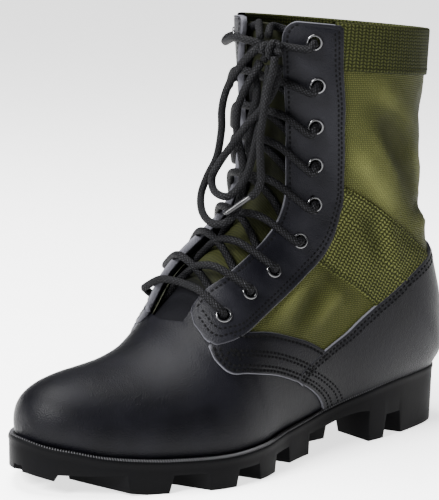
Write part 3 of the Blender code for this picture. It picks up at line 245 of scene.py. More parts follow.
# Bow: the routes of its cords through the air in front of the throat, x, y, z
KNOT = (18.0, -1.4, 234.6)
OUTER_LOOP = (
    (12.8, -6.4, 236.0), (6.9, -8.8, 230.8), (-3.2, -9.6, 220.4), (-11.0, -9.4, 209.3),
    (-14.5, -9.1, 198.4), (-14.2, -9.2, 187.0), (-16.5, -10.2, 171.4), (-21.8, -12.4, 159.6),
    (-22.4, -16.3, 148.8), (-14.6, -21.5, 140.6), (-4.1, -24.1, 136.4), (3.8, -22.7, 136.3),
    (7.6, -18.0, 140.3), (7.0, -12.3, 148.8), (5.2, -9.1, 158.8), (4.4, -8.3, 168.1),
    (1.7, -8.3, 177.3), (-1.0, -8.6, 185.6), (-1.5, -9.0, 194.1), (0.1, -9.0, 203.7),
    (6.6, -8.4, 215.2), (11.8, -6.2, 224.4), (13.4, -4.6, 227.6),
)
INNER_LOOP = (
    (21.2, 2.2, 226.4), (21.8, 0.4, 220.4), (20.9, -2.0, 212.1), (17.7, -5.9, 203.5),
    (11.0, -10.8, 193.7), (3.1, -14.4, 182.2), (-6.2, -16.7, 169.6), (-11.8, -17.3, 160.2),
    (-6.3, -19.6, 153.4), (3.5, -19.0, 151.7), (8.7, -15.3, 156.4), (11.4, -11.7, 163.6),
    (13.5, -9.4, 174.1), (14.3, -7.1, 186.4), (14.9, -4.9, 197.6), (15.6, -3.4, 207.9),
    (16.4, -2.6, 218.0), (16.8, -2.0, 226.0),
)
LONG_END = (
    (24.2, -4.4, 231.4), (25.0, -6.2, 224.6), (22.8, -7.4, 214.3), (22.4, -9.4, 202.2),
    (21.1, -10.5, 187.1), (21.3, -10.0, 173.1), (20.8, -8.7, 162.8), (18.3, -10.1, 155.4),
    (14.0, -13.4, 151.0), (10.6, -18.4, 146.6), (7.5, -23.0, 142.6),
)
SHORT_END = (
    (8.6, -1.8, 227.8), (6.4, -3.2, 221.1), (7.8, -2.6, 213.7), (7.6, -2.6, 206.1),
    (4.9, -3.2, 197.3), (3.2, -3.6, 188.6), (3.7, -3.8, 181.1), (4.5, -3.9, 175.5),
)
# The cords from the top eyelets, inside the facings and up through the gap to the knot:
# distance from the eyelet's axis and height, then share of the way across, height and rise
LEAD_START = ((1.0, -5.6), (4.0, -5.6))
LEAD_LATERAL = ((0.16, -5.7, 0.6), (0.25, -5.8, 1.8), (0.335, -4.6, 3.0), (0.375, 0.6, 3.6))
LEAD_LATERAL_END = (13.6, -0.4, 243.0)
LEAD_MEDIAL = ((0.16, -5.7, 0.6), (0.28, -5.8, 2.0), (0.42, -4.6, 3.2), (0.50, 0.2, 4.0))
LEAD_MEDIAL_END = (9.0, -2.4, 241.4)


def eased(share, start, leave, end, reach):
    """Smooth value at a share of the way from one value to the next, with its slopes at both of them."""
    cube, square = share ** 3, share ** 2
    return (
        (2 * cube - 3 * square + 1) * start + (cube - 2 * square + share) * leave
        + (3 * square - 2 * cube) * end + (cube - square) * reach
    )


def catmull(values, place):
    """Smooth value of a column of numbers at a place between its rows."""
    last = len(values) - 1
    row = int(min(max(math.floor(place), 0), last - 1))
    share = place - row
    here, after = values[row], values[row + 1]
    before = values[row - 1] if row > 0 else 2 * here - after
    beyond = values[row + 2] if row < last - 1 else 2 * after - here
    return eased(share, here, (after - before) / 2, after, (beyond - here) / 2)


def monotone(xs, ys, x):
    """Smooth curve through a table that never overshoots its rows."""
    xs, ys = np.asarray(xs, float), np.asarray(ys, float)
    widths = np.diff(xs)
    rises = np.diff(ys) / widths
    slopes = np.empty(len(xs))
    slopes[0], slopes[-1] = rises[0], rises[-1]
    same = rises[:-1] * rises[1:] > 0
    w1, w2 = 2 * widths[1:] + widths[:-1], widths[1:] + 2 * widths[:-1]
    with np.errstate(divide="ignore", invalid="ignore"):
        mean = (w1 + w2) / (w1 / rises[:-1] + w2 / rises[1:])
    slopes[1:-1] = np.where(same, mean, 0.0)
    x = np.clip(np.asarray(x, float), xs[0], xs[-1])
    row = np.clip(np.searchsorted(xs, x, side="right") - 1, 0, len(xs) - 2)
    share = (x - xs[row]) / widths[row]
    width = widths[row]
    return eased(share, ys[row], width * slopes[row], ys[row + 1], width * slopes[row + 1])


def column(table, number):
    return [row[number] for row in table]


def closed_spline(points, count):
    """Smooth closed curve through the points, evenly spaced."""
    ring = np.asarray(points, float)
    total = len(ring)
    fine = []
    for row in range(total):
        p0, p1, p2, p3 = (ring[(row + k) % total] for k in (-1, 0, 1, 2))
        for share in np.linspace(0.0, 1.0, 24, endpoint=False):
            cube, square = share ** 3, share ** 2
            fine.append(
                0.5 * (2 * p1 + (p2 - p0) * share + (2 * p0 - 5 * p1 + 4 * p2 - p3) * square
                       + (3 * p1 - p0 - 3 * p2 + p3) * cube)
            )
    return resampled(np.array(fine + [fine[0]]), count + 1)[:-1]


def resampled(points, count):
    """The polyline's points again, evenly spaced along it."""
    points = np.asarray(points, float)
    steps = np.r_[0.0, np.cumsum(np.linalg.norm(np.diff(points, axis=0), axis=1))]
    wanted = np.linspace(0.0, steps[-1], count)
    return np.stack([np.interp(wanted, steps, points[:, k]) for k in range(points.shape[1])], 1)


def smooth_route(points, spacing):
    """Smooth open curve through the route's points, a point every spacing."""
    points = np.asarray(points, float)
    fine = [
        [catmull(points[:, k], place) for k in range(points.shape[1])]
        for place in np.linspace(0.0, len(points) - 1, 12 * len(points))
    ]
    fine = np.array(fine)
    length = np.linalg.norm(np.diff(fine, axis=0), axis=1).sum()
    return resampled(fine, max(4, int(round(length / spacing)) + 1))


def sole_bed(y):
    return monotone(column(SOLE_HEIGHTS, 1), column(SOLE_HEIGHTS, 2), y)


def sole_base(y):
    return monotone(column(SOLE_HEIGHTS, 1), column(SOLE_HEIGHTS, 3), y)


def lug_bottom(y):
    return np.interp(y, column(SOLE_HEIGHTS, 1), column(SOLE_HEIGHTS, 4))


def ring_edge(count):
    """The sole's outline from above, its points in a ring from the heel."""
    edge = closed_spline([(x, y) for _, x, y in OUTLINE], count)
    return edge - (edge.max(0) + edge.min(0)) / 2


def inset_curve(curve, widths):
    """The closed curve moved inwards by a width for each of its points."""
    ahead, behind = np.roll(curve, -1, 0), np.roll(curve, 1, 0)
    along = ahead - behind
    along /= np.linalg.norm(along, axis=1)[:, None]
    inward = np.stack([along[:, 1], -along[:, 0]], 1)
    middle = curve.mean(0)
    if ((middle - curve) * inward).sum() < 0:
        inward = -inward
    return curve + inward * np.asarray(widths)[:, None]


# The sole's edge, and the line inside it where the upper meets the sole
SOLE_EDGE = ring_edge(360)
FEATHER = inset_curve(SOLE_EDGE, monotone(column(WELT, 1), column(WELT, 2), SOLE_EDGE[:, 1]))


def sides_at(curve, y):
    """Lowest and highest x of a closed curve where it crosses this y."""
    ends = np.roll(curve, -1, 0)
    crossing = (curve[:, 1] - y) * (ends[:, 1] - y) <= 0
    starts, ends = curve[crossing], ends[crossing]
    if not len(starts):
        tip = curve[np.argmin(np.abs(curve[:, 1] - y)), 0]
        return tip, tip
    rise = ends[:, 1] - starts[:, 1]
    share = np.where(np.abs(rise) < 1e-9, 0.5, (y - starts[:, 1]) / np.where(rise == 0, 1, rise))
    xs = starts[:, 0] + share * (ends[:, 0] - starts[:, 0])
    return xs.min(), xs.max()


SECTION_POINTS = 129
SECTION_COLUMNS = [column(STATIONS, number) for number in range(1, 11)]
SECTION_COLUMNS[1] = [
    float(sole_bed(y)) + GAP if z is None else z for y, z in zip(SECTION_COLUMNS[0], SECTION_COLUMNS[1])
]


def station_values(place):
    values = [catmull(values, place) for values in SECTION_COLUMNS]
    if place < STATION_AT["heel_back"]:
        values[1] = float(sole_bed(values[0])) + GAP
    return values


def half_section(side, place):
    """Evenly spaced points of one side of a section, from its keel to its ridge."""
    keel_y, keel_z, ridge_y, ridge_z, ridge_x, lateral, medial, depth, low, top = station_values(place)
    foot = 0.0
    if place < STATION_AT["heel_back"]:
        left, right = sides_at(FEATHER, keel_y)
        foot = abs((right if side == LATERAL else left) - ridge_x)
    widest = max(lateral if side == LATERAL else medial, foot * 1.005)
    height = math.hypot(ridge_y - keel_y, ridge_z - keel_z)
    up_y, up_z = (ridge_y - keel_y) / height, (ridge_z - keel_z) / height
    start = math.asin(min(1.0, foot / widest) ** (low / 2))
    depth = min(depth, 0.55 * height)
    waist = depth * math.cos(start) ** (2 / low)
    angle = np.linspace(start, math.pi / 2, 2 * SECTION_POINTS)
    low_x = widest * np.sin(angle) ** (2 / low)
    low_w = waist - depth * np.clip(np.cos(angle), 0, 1) ** (2 / low)
    angle = np.linspace(0, math.pi / 2, 3 * SECTION_POINTS)[1:]
    top_x = widest * np.clip(np.cos(angle), 0, 1) ** (2 / top)
    top_w = waist + (height - waist) * np.sin(angle) ** (2 / top)
    across, along = np.r_[low_x, top_x], np.r_[low_w, top_w]
    even = resampled(np.stack([across, along], 1), SECTION_POINTS)
    if place == 0:
        even[:, 0] = 0.0
    return np.stack(
        [ridge_x + side * even[:, 0], keel_y + up_y * even[:, 1], keel_z + up_z * even[:, 1]], 1
    )


PLACE_STEP = 0.0625
PLACES = np.arange(0.0, len(STATIONS) - 1 + PLACE_STEP / 2, PLACE_STEP)


def throat_distance(side, place):
    """Distance of the throat's edge from the ridge, along the form."""
    stations = [STATION_AT[name] for name in column(THROAT, 0)]
    return monotone(stations, column(THROAT, 1 if side == LATERAL else 2), place)


def shifted(line, distance):
    """A flat line moved to the left of its direction."""
    line = np.asarray(line, float)
    along = np.gradient(line, axis=0)
    along /= np.linalg.norm(along, axis=1)[:, None]
    return line + np.stack([-along[:, 1], along[:, 0]], 1) * distance


# Soft folds of the woven shaft in the side view: start y z, end y z, half width, height
FOLDS = (
    ("below_collar", 60.0, 214.0, 96.0, 186.0, 7.0, 2.2),
    ("long_slant", 64.0, 196.0, 104.0, 148.0, 9.0, -2.7),
    ("beside_facing", 52.0, 176.0, 84.0, 140.0, 6.5, 2.3),
    ("over_heel_cord", 92.0, 176.0, 124.0, 150.0, 6.0, 1.8),
    ("heel_cord_trough", 100.0, 142.0, 130.0, 138.0, 5.0, -2.5),
    ("heel_cord_ridge", 104.0, 132.0, 132.0, 126.0, 5.0, 2.2),
    ("upper_rear", 100.0, 206.0, 126.0, 186.0, 8.0, -1.6),
    ("band_front", 60.0, 142.0, 76.0, 112.0, 6.0, -1.6),
    ("band_middle", 76.0, 134.0, 90.0, 104.0, 5.0, 1.6),
    ("quarter_front", -4.0, 84.0, 24.0, 106.0, 5.0, 1.5),
    ("quarter_dark", 8.0, 76.0, 44.0, 108.0, 4.5, -1.5),
    ("quarter_light", 24.0, 76.0, 50.0, 96.0, 3.5, 1.1),
    ("shaft_hollow", 72.0, 206.0, 92.0, 168.0, 12.0, -2.2),
    ("shaft_roll", 60.0, 190.0, 86.0, 156.0, 6.0, 1.8),
    ("heel_cord_roll", 96.0, 158.0, 128.0, 132.0, 5.0, 1.6),
    ("band_crease", 84.0, 128.0, 108.0, 112.0, 3.5, -1.5),
    ("quarter_rear", 34.0, 112.0, 56.0, 88.0, 3.5, -1.3),
)


def folds(points):
    """Height of the soft folds at points of the upper."""
    total = np.zeros(points.shape[:-1])
    spot = points[..., 1:]
    for _, y0, z0, y1, z1, half_width, height in FOLDS:
        start, way = np.array([y0, z0]), np.array([y1 - y0, z1 - z0])
        length = np.linalg.norm(way)
        along = ((spot - start) @ way) / length ** 2
        past = np.clip(np.abs(along - 0.5) - 0.5, 0, None) * length
        beside = (spot - start) @ np.array([-way[1], way[0]]) / length
        taper = np.clip(np.sin(np.pi * np.clip(along, 0.02, 0.98)), 0, 1) ** 0.5
        total += height * taper * np.exp(-(beside ** 2 + past ** 2) / half_width ** 2)
    return total


# The nylon and webbing finishes use this to paint shade into the troughs and, on the nylon, a highlight on
# the ridges
def fold_mark(points):
    """0 in the deepest troughs, 1 on the highest ridges."""
    return np.clip(0.5 + folds(points) / 4.0, 0.0, 1.0)


def eased_heel(table):
    """The form's sections, led smoothly over the turn of the heel, where they close under the foot."""
    first, last = (round((STATION_AT["heel_back"] + step) / PLACE_STEP) for step in (-1.0, 1.0))
    span = last - first
    way = (np.arange(span + 1) / span)[:, None, None]
    leave, reach = (table[first] - table[first - 4]) * span / 4, (table[last + 4] - table[last]) * span / 4
    led = eased(way, table[first], leave, table[last], reach)
    share = np.clip(np.linspace(0, 1, SECTION_POINTS) / 0.06, 0, 1)[:, None]
    table[first:last + 1] += (led - table[first:last + 1]) * share
    return table


class Form:
    """The last under the upper: points, normals and section lengths of both its sides."""

    def __init__(self):
        self.points = {
            side: eased_heel(np.array([half_section(side, place) for place in PLACES]))
            for side in (LATERAL, MEDIAL)
        }
        steps = {side: np.linalg.norm(np.diff(table, axis=1), axis=2) for side, table in self.points.items()}
        self.lengths = {side: steps[side].sum(1) for side in steps}
        whole = np.concatenate([self.points[LATERAL], self.points[MEDIAL][:, -2::-1]], 1)
        across = np.gradient(whole, axis=1)
        closed = np.searchsorted(PLACES, STATION_AT["heel_back"])
        across[closed:, 0] = across[closed:, -1] = whole[closed:, 1] - whole[closed:, -2]
        normals = np.cross(np.gradient(whole, axis=0), across)
        normals /= np.linalg.norm(normals, axis=2)[..., None] + 1e-12
        self.normals = {LATERAL: normals[:, :SECTION_POINTS], MEDIAL: normals[:, :SECTION_POINTS - 2:-1]}

    def at(self, side, place, share, height=0.0):
        """Points over the form, at a height along its normals."""
        row = np.clip(np.asarray(place, float) / PLACE_STEP, 0, len(PLACES) - 1.001)
        spot = np.clip(np.asarray(share, float), 0, 1) * (SECTION_POINTS - 1)
        row, spot = np.broadcast_arrays(row, np.minimum(spot, SECTION_POINTS - 1.001))
        r, c = row.astype(int), spot.astype(int)
        u, v = (row - r)[..., None], (spot - c)[..., None]
        point, normal = [
            table[r, c] * (1 - u) * (1 - v) + table[r + 1, c] * u * (1 - v)
            + table[r, c + 1] * (1 - u) * v + table[r + 1, c + 1] * u * v
            for table in (self.points[side], self.normals[side])
        ]
        normal = normal / (np.linalg.norm(normal, axis=-1)[..., None] + 1e-12)
        return point + normal * np.asarray(height, float)[..., None]

    def length(self, side, place):
        return np.interp(place, PLACES, self.lengths[side])

    def find(self, side, y, z):
        """Places and shares of the form's points that the side view shows at y, z."""
        y, z = np.asarray(y, float), np.asarray(z, float)
        table = self.points[side]
        keel, ridge = table[:, 0, 1:], table[:, -1, 1:]
        low, high = np.full(len(y), 1.0), np.full(len(y), PLACES[-1])

        def line_ends(place):
            return [
                np.stack([np.interp(place, PLACES, end[:, k]) for k in (0, 1)], 1) for end in (keel, ridge)
            ]

        for _ in range(26):
            middle = (low + high) / 2
            start, end = line_ends(middle)
            way = end - start
            turn = way[:, 0] * (z - start[:, 1]) - way[:, 1] * (y - start[:, 0])
            low, high = np.where(turn < 0, middle, low), np.where(turn < 0, high, middle)
        start, _ = line_ends(low)
        wanted = np.hypot(y - start[:, 0], z - start[:, 1])
        near, far = np.zeros(len(y)), np.ones(len(y))
        for _ in range(22):
            middle = (near + far) / 2
            here = self.at(side, low, middle)[:, 1:]
            short = np.linalg.norm(here - start, axis=1) < wanted
            near, far = np.where(short, middle, near), np.where(short, far, middle)
        return low, near


# How far the medial facing's free edge stands up: station, height
CURL = ((10.8, 2.5), (12.0, 3.6), (14.0, 4.0), (17.0, 3.0), (20.0, 1.5), (29.0, 1.0))
FORM = Form()
# Flat pattern spaces in which the pieces are cut: millimetres for each station along the piece
RIDGE_SCALE, KEEL_SCALE = 12.0, 20.0


class Flat:
    """A flat pattern space on one side of the form."""

    def __init__(self, kind, side):
        self.kind, self.side = kind, side

    def place(self, flat):
        """Places and shares of flat points."""
        if self.kind == "side":
            return FORM.find(self.side, flat[:, 0], flat[:, 1])
        if self.kind == "ridge":
            place = flat[:, 0] / RIDGE_SCALE
            return place, 1 - flat[:, 1] / FORM.length(self.side, place)
        place = flat[:, 0] / KEEL_SCALE
        return place, flat[:, 1] / FORM.length(self.side, place)

    def flat(self, line):
        """A side view line in this pattern space."""
        line = np.asarray(line, float)
        if self.kind == "side":
            return line
        place, share = FORM.find(self.side, line[:, 0], line[:, 1])
        length = FORM.length(self.side, place)
        if self.kind == "ridge":
            return np.stack([place * RIDGE_SCALE, (1 - share) * length], 1)
        return np.stack([place * KEEL_SCALE, share * length], 1)

    def over(self, flat, height):
        """Points over the folded form; the medial facing's free edge stands away from it."""
        place, share = self.place(np.asarray(flat, float))
        base = FORM.at(self.side, place, share)
        lift = folds(base)
        if self.kind == "ridge" and self.side == MEDIAL:
            from_edge = flat[:, 1] - throat_distance(MEDIAL, place)
            lift = lift + np.interp(place, *zip(*CURL)) * np.exp(-np.clip(from_edge, 0, None) / 4.5)
        return FORM.at(self.side, place, share, height + lift)


def distance_to(points, line, closed=True):
    """Distance of flat points from a polyline."""
    ends = np.roll(line, -1, 0) if closed else line[1:]
    starts = line if closed else line[:-1]
    way = ends - starts
    square = (way ** 2).sum(1) + 1e-12
    nearest = np.full(len(points), 1e9)
    for start, step, size in zip(starts, way, square):
        share = np.clip(((points - start) @ step) / size, 0, 1)
        nearest = np.minimum(nearest, np.linalg.norm(points - start - share[:, None] * step, axis=1))
    return nearest


def inside(points, ring):
    """Which flat points lie inside a closed ring."""
    x, y = points[:, 0], points[:, 1]
    result = np.zeros(len(points), bool)
    for (x0, y0), (x1, y1) in zip(ring, np.roll(ring, -1, 0)):
        if y0 == y1:
            continue
        crossing = ((y0 > y) != (y1 > y)) & (x < (x1 - x0) * (y - y0) / (y1 - y0) + x0)
        result ^= crossing
    return result


def spaced(line, spacing):
    """A flat line's points again, about a spacing apart, its first and last kept."""
    length = np.linalg.norm(np.diff(line, axis=0), axis=1).sum()
    return resampled(line, max(2, int(round(length / spacing)) + 1))


def turned_ring(ring):
    """The closed ring, running anticlockwise."""
    area = (ring[:, 0] * np.roll(ring[:, 1], -1) - np.roll(ring[:, 0], -1) * ring[:, 1]).sum()
    return ring if area > 0 else ring[::-1]


def cut_flat(ring, free, spacing, insets, holes=()):
    """Triangles of the flat piece inside a ring, with rows of points at set distances from its free edges."""
    points, edges = list(ring), [(k, (k + 1) % len(ring)) for k in range(len(ring))]
    for hole in holes:
        base = len(points)
        points += list(hole)
        edges += [(base + k, base + (k + 1) % len(hole)) for k in range(len(hole))]
    extra = []
    along = np.roll(ring, -1, 0) - np.roll(ring, 1, 0)
    along /= np.linalg.norm(along, axis=1)[:, None] + 1e-12
    inward = np.stack([-along[:, 1], along[:, 0]], 1)
    for inset in insets:
        moved = ring + inward * inset
        moved = moved[inside(moved, ring)]
        extra.append(moved[distance_to(moved, free, False) > 0.97 * inset])
    low, high = ring.min(0), ring.max(0)
    xs, ys = np.arange(low[0], high[0], spacing), np.arange(low[1], high[1], spacing * 0.87)
    grid = np.array([(x + (row % 2) * spacing / 2, y) for row, y in enumerate(ys) for x in xs])
    grid = grid[inside(grid, ring)]
    extra.append(grid[distance_to(grid, ring) > max(insets) + 0.4 * spacing])
    extra = np.vstack(extra)
    for hole in holes:
        extra = extra[~inside(extra, hole) & (distance_to(extra, hole) > 0.3)]
    points += list(extra[distance_to(extra, ring) > 0.03])
    verts, _, faces, *_ = delaunay_2d_cdt([Vector(p) for p in points], edges, [], 0, 1e-4)
    verts = np.array([tuple(v) for v in verts])
    faces = np.array([list(face) for face in faces if len(face) == 3])
    centres = verts[faces].mean(1)
    keep = inside(centres, ring)
    for hole in holes:
        keep &= ~inside(centres, hole)
    return verts, faces[keep]


def new_mesh(name, points, faces, finishes, smooth=True, uv=None, marks=None):
    """A mesh object from points in millimetres, with its finishes, flat lay and marks."""
    mesh = bpy.data.meshes.new(name)
    mesh.from_pydata((np.asarray(points) * MM).tolist(), [], [list(map(int, face)) for face in faces])
    mesh.validate()
    for finish in finishes:
        mesh.materials.append(finish)
    if smooth:
        mesh.shade_smooth()
    if uv is not None:
        layer = mesh.uv_layers.new(name="lay")
        loops = np.empty(len(mesh.loops), int)
        mesh.loops.foreach_get("vertex_index", loops)
        layer.data.foreach_set("uv", np.asarray(uv, float)[loops].ravel())
    for word, values in (marks or {}).items():
        mesh.attributes.new(word, "FLOAT", "POINT").data.foreach_set("value", np.asarray(values, float))
    mesh.update()
    obj = bpy.data.objects.new(name, mesh)
    bpy.context.scene.collection.objects.link(obj)
    return obj


def grid_faces(rows, columns, offset=0):
    """Faces between the neighbours of a grid of points."""
    return [
        [offset + r * columns + c, offset + r * columns + c + 1, offset + (r + 1) * columns + c + 1,
         offset + (r + 1) * columns + c]
        for r in range(rows - 1) for c in range(columns - 1)
    ]


def ring_faces(rows, count, closed=False):
    """Faces between rings of points in a row; in a closed one the last ring meets the first again."""
    return [
        [r * count + k, r * count + (k + 1) % count, (r + 1) % rows * count + (k + 1) % count,
         (r + 1) % rows * count + k]
        for r in range(rows if closed else rows - 1) for k in range(count)
    ]


def weld(obj, distance=0.02):
    """Joins points that meet, and turns all faces outwards."""
    shape = bmesh.new()
    shape.from_mesh(obj.data)
    bmesh.ops.remove_doubles(shape, verts=shape.verts, dist=distance * MM)
    bmesh.ops.recalc_face_normals(shape, faces=shape.faces)
    shape.to_mesh(obj.data)
    shape.free()
    obj.data.shade_smooth()


def turn_lay(flat, angle):
    """Flat points turned, for threads that run at an angle."""
    c, s = math.cos(angle), math.sin(angle)
    return np.stack([flat[:, 0] * c + flat[:, 1] * s, flat[:, 1] * c - flat[:, 0] * s], 1)


# Distances from a piece's edge of the rows of points that round it
EDGE_ROWS = (0.05, 0.35, 0.9)
# Stitch grooves: depth, half width, and how far off their middles the rows of points beside them lie
GROOVE_DEPTH, GROOVE_HALF, GROOVE_ROW = 0.16, 0.5, 0.6


def patch(pattern, ring, free, thickness, material, name, spacing=2.6, grooves=(), holes=(), back=None,
          lay_angle=0.0):
    """A cut piece laid on the folded form: a rounded edge, stitch grooves, and a back where it is free."""
    ring, free = np.asarray(ring, float), np.asarray(free, float)
    insets = [*EDGE_ROWS] + [groove + step for groove in grooves for step in (-GROOVE_ROW, 0.0, GROOVE_ROW)]
    flat, faces = cut_flat(ring, free, spacing, insets, holes)
    edge = distance_to(flat, free, False)
    height = np.interp(edge, (0.0, *EDGE_ROWS), (0.0, thickness - 0.45, thickness - 0.1, thickness))
    for groove in grooves:
        height -= GROOVE_DEPTH * np.exp(-((edge - groove) / GROOVE_HALF) ** 2)
    points = pattern.over(flat, height)
    rim = np.clip(1.1 - edge / EDGE_ROWS[1], 0, 1)
    fold = fold_mark(pattern.over(flat, 0.0))
    count = len(flat)
    if back is not None:
        low = np.interp(edge, (0.0, *EDGE_ROWS[:2]), (0.0, back + 0.4, back))
        points = np.vstack([points, pattern.over(flat, low)])
        faces = np.vstack([faces, faces[:, ::-1] + count])
        flat, rim, fold = np.vstack([flat, flat]), np.r_[rim, rim], np.r_[fold, fold]
    obj = new_mesh(name, points, faces, [material], uv=turn_lay(flat, lay_angle),
                   marks={"rim": rim, "fold": fold})
    weld(obj)
    return obj


# How deep a stitch is pulled into its piece
STITCH_SINK = 0.05
# One stitch: a short rounded thread, as shares of its length, width and height
STITCH_RING = ((-0.5, 0.0, 0.0), (-0.32, 0.42, 0.3), (0.32, 0.42, 0.3), (0.5, 0.0, 0.0), (0.32, -0.42, 0.3),
               (-0.32, -0.42, 0.3), (-0.25, 0.0, 0.95), (0.25, 0.0, 0.95))
STITCH_FACES = ((0, 6, 1), (1, 6, 7, 2), (2, 7, 3), (3, 7, 4), (4, 7, 6, 5), (5, 6, 0))


def stitches(name, pattern, lines, height, material, pitch=2.9, length=2.15, width=1.35, rise=0.5):
    """Rows of stitches along flat lines, joined in one piece."""
    shape = np.array(STITCH_RING) * (length, width, rise)
    points, faces = [], []
    for line in lines:
        line = np.asarray(line, float)
        fine = pattern.over(spaced(line, 1.0), np.full(len(spaced(line, 1.0)), height))
        higher = pattern.over(spaced(line, 1.0), np.full(len(fine), height + 1.0))
        size = np.linalg.norm(np.diff(fine, axis=0), axis=1).sum()
        count = max(2, int(size / pitch))
        both = resampled(np.hstack([fine, higher]), 2 * count + 1)
        middle, above = both[1::2, :3], both[1::2, 3:]
        along = both[2::2, :3] - both[:-1:2, :3]
        for centre, up, way in zip(middle, above - middle, along):
            way = way / np.linalg.norm(way)
            up = up / np.linalg.norm(up)
            side = np.cross(up, way)
            base = len(points)
            points += list(centre + shape[:, :1] * way + shape[:, 1:2] * side + (shape[:, 2:] - 0.12) * up)
            faces += [[base + k for k in face] for face in STITCH_FACES]
    return new_mesh(name, points, faces, [material])


def tube_rings(route, radius, sides):
    """Rings of points round a route, and their middles."""
    route = np.asarray(route, float)
    along = np.gradient(route, axis=0)
    along /= np.linalg.norm(along, axis=1)[:, None]
    across = np.cross(along[0], (0.31, 0.2, 0.93))
    angles = np.linspace(0, 2 * math.pi, sides, endpoint=False)
    radius = np.broadcast_to(radius, len(route))
    rings = []
    for centre, direction, size in zip(route, along, radius):
        across = across - direction * (across @ direction)
        across /= np.linalg.norm(across)
        other = np.cross(direction, across)
        rings.append(centre + (np.outer(np.cos(angles), across) + np.outer(np.sin(angles), other)) * size)
    return rings


# A cord's rounded end: how far it stands out, and its share of the cord's radius
END_STEP, END_SHARE = 0.4, 0.7


def tube(name, routes, radius, material, sides=16):
    """Round braided cords along routes, with rounded ends, in one piece."""
    points, faces, lay = [], [], []
    for route in routes:
        route = np.asarray(route, float)
        first, last = route[0] - route[1], route[-1] - route[-2]
        first, last = first / np.linalg.norm(first), last / np.linalg.norm(last)
        path = np.vstack([route[0] + first * END_STEP, route, route[-1] + last * END_STEP])
        sizes = np.r_[radius * END_SHARE, np.full(len(route), radius), radius * END_SHARE]
        steps = np.r_[0.0, np.cumsum(np.linalg.norm(np.diff(path, axis=0), axis=1))]
        base = len(points)
        for ring, step in zip(tube_rings(path, sizes, sides), steps):
            ring = np.vstack([ring, ring[:1]])
            points += list(ring)
            lay += [(k * 2 * math.pi * radius / sides, step) for k in range(sides + 1)]
        faces += grid_faces(len(path), sides + 1, base)
        faces.append([base + k for k in range(sides)][::-1])
        faces.append([base + (len(path) - 1) * (sides + 1) + k for k in range(sides)])
    return new_mesh(name, points, faces, [material], uv=lay)


class Eyelet:
    """Place of one eyelet: its point on the form and the axis of its hole."""

    def __init__(self, side, y, z):
        self.side = side
        place, share = FORM.find(side, [y], [z])
        self.place, self.share = float(place[0]), float(share[0])
        self.point = FORM.at(side, self.place, self.share)
        self.axis = FORM.at(side, self.place, self.share, 1.0) - self.point


PAIRS = [(Eyelet(LATERAL, y, z), Eyelet(MEDIAL, my, mz)) for _, y, z, my, mz in EYELETS]


def beside(eyelet, other, steps):
    """Points beside an eyelet: distance from its axis towards the other one, height."""
    toward = other.point - eyelet.point
    toward = toward - eyelet.axis * (toward @ eyelet.axis)
    toward /= np.linalg.norm(toward)
    return [eyelet.point + toward * out + eyelet.axis * height for out, height in steps]


def above_form(start, end, share, height):
    """Point at a height above the form, at a share of the way from one eyelet to the other."""
    place = start.place * (1 - share) + end.place * share
    across = start.share * (1 - share) + (2 - end.share) * share
    side, part = (start.side, across) if across <= 1 else (-start.side, 2 - across)
    return FORM.at(side, place, part, height)


def crossing_route(start, end, heights, first):
    """A lace's middle line from one eyelet to the other."""
    middle = [above_form(start, end, share, height) for share, height in heights]
    route = np.array(beside(start, end, first) + middle + beside(end, start, ENTRY))
    return smooth_route(route, CORD_SPACING)


class Wire:
    """A number or a vector on its way through a finish, with sums written as sums."""

    def __init__(self, tree, socket):
        self.tree, self.socket = tree, socket

    def joined(self, operation, *values):
        node = self.tree.nodes.new("ShaderNodeMath")
        node.operation = operation
        for socket, value in zip(node.inputs, values):
            plug(self.tree, socket, value)
        return Wire(self.tree, node.outputs[0])

    def __add__(self, other):
        return self.joined("ADD", self, other)

    def __radd__(self, other):
        return self.joined("ADD", other, self)

    def __sub__(self, other):
        return self.joined("SUBTRACT", self, other)

    def __rsub__(self, other):
        return self.joined("SUBTRACT", other, self)

    def __mul__(self, other):
        return self.joined("MULTIPLY", self, other)

    def __rmul__(self, other):
        return self.joined("MULTIPLY", other, self)

    def __truediv__(self, other):
        return self.joined("DIVIDE", self, other)

    def __pow__(self, other):
        return self.joined("POWER", self, other)

    def floor(self):
        return self.joined("FLOOR", self)

    def part(self):
        return self.joined("FRACT", self)

    def wave(self):
        """Sine of pi times the value."""
        return self.joined("SINE", self * math.pi)

    def within(self, low, high):
        """0 below low, 1 above high, straight between."""
        share = (self - low) / (high - low)
        return self.joined("MINIMUM", self.joined("MAXIMUM", share, 0.0), 1.0)

    def parts(self):
        """The three numbers of a vector."""
        node = self.tree.nodes.new("ShaderNodeSeparateXYZ")
        plug(self.tree, node.inputs[0], self)
        return [Wire(self.tree, output) for output in node.outputs]


def plug(tree, socket, value):
    """Links a wire to a socket, or sets the socket's own value."""
    if isinstance(value, Wire):
        tree.links.new(value.socket, socket)
    else:
        socket.default_value = value


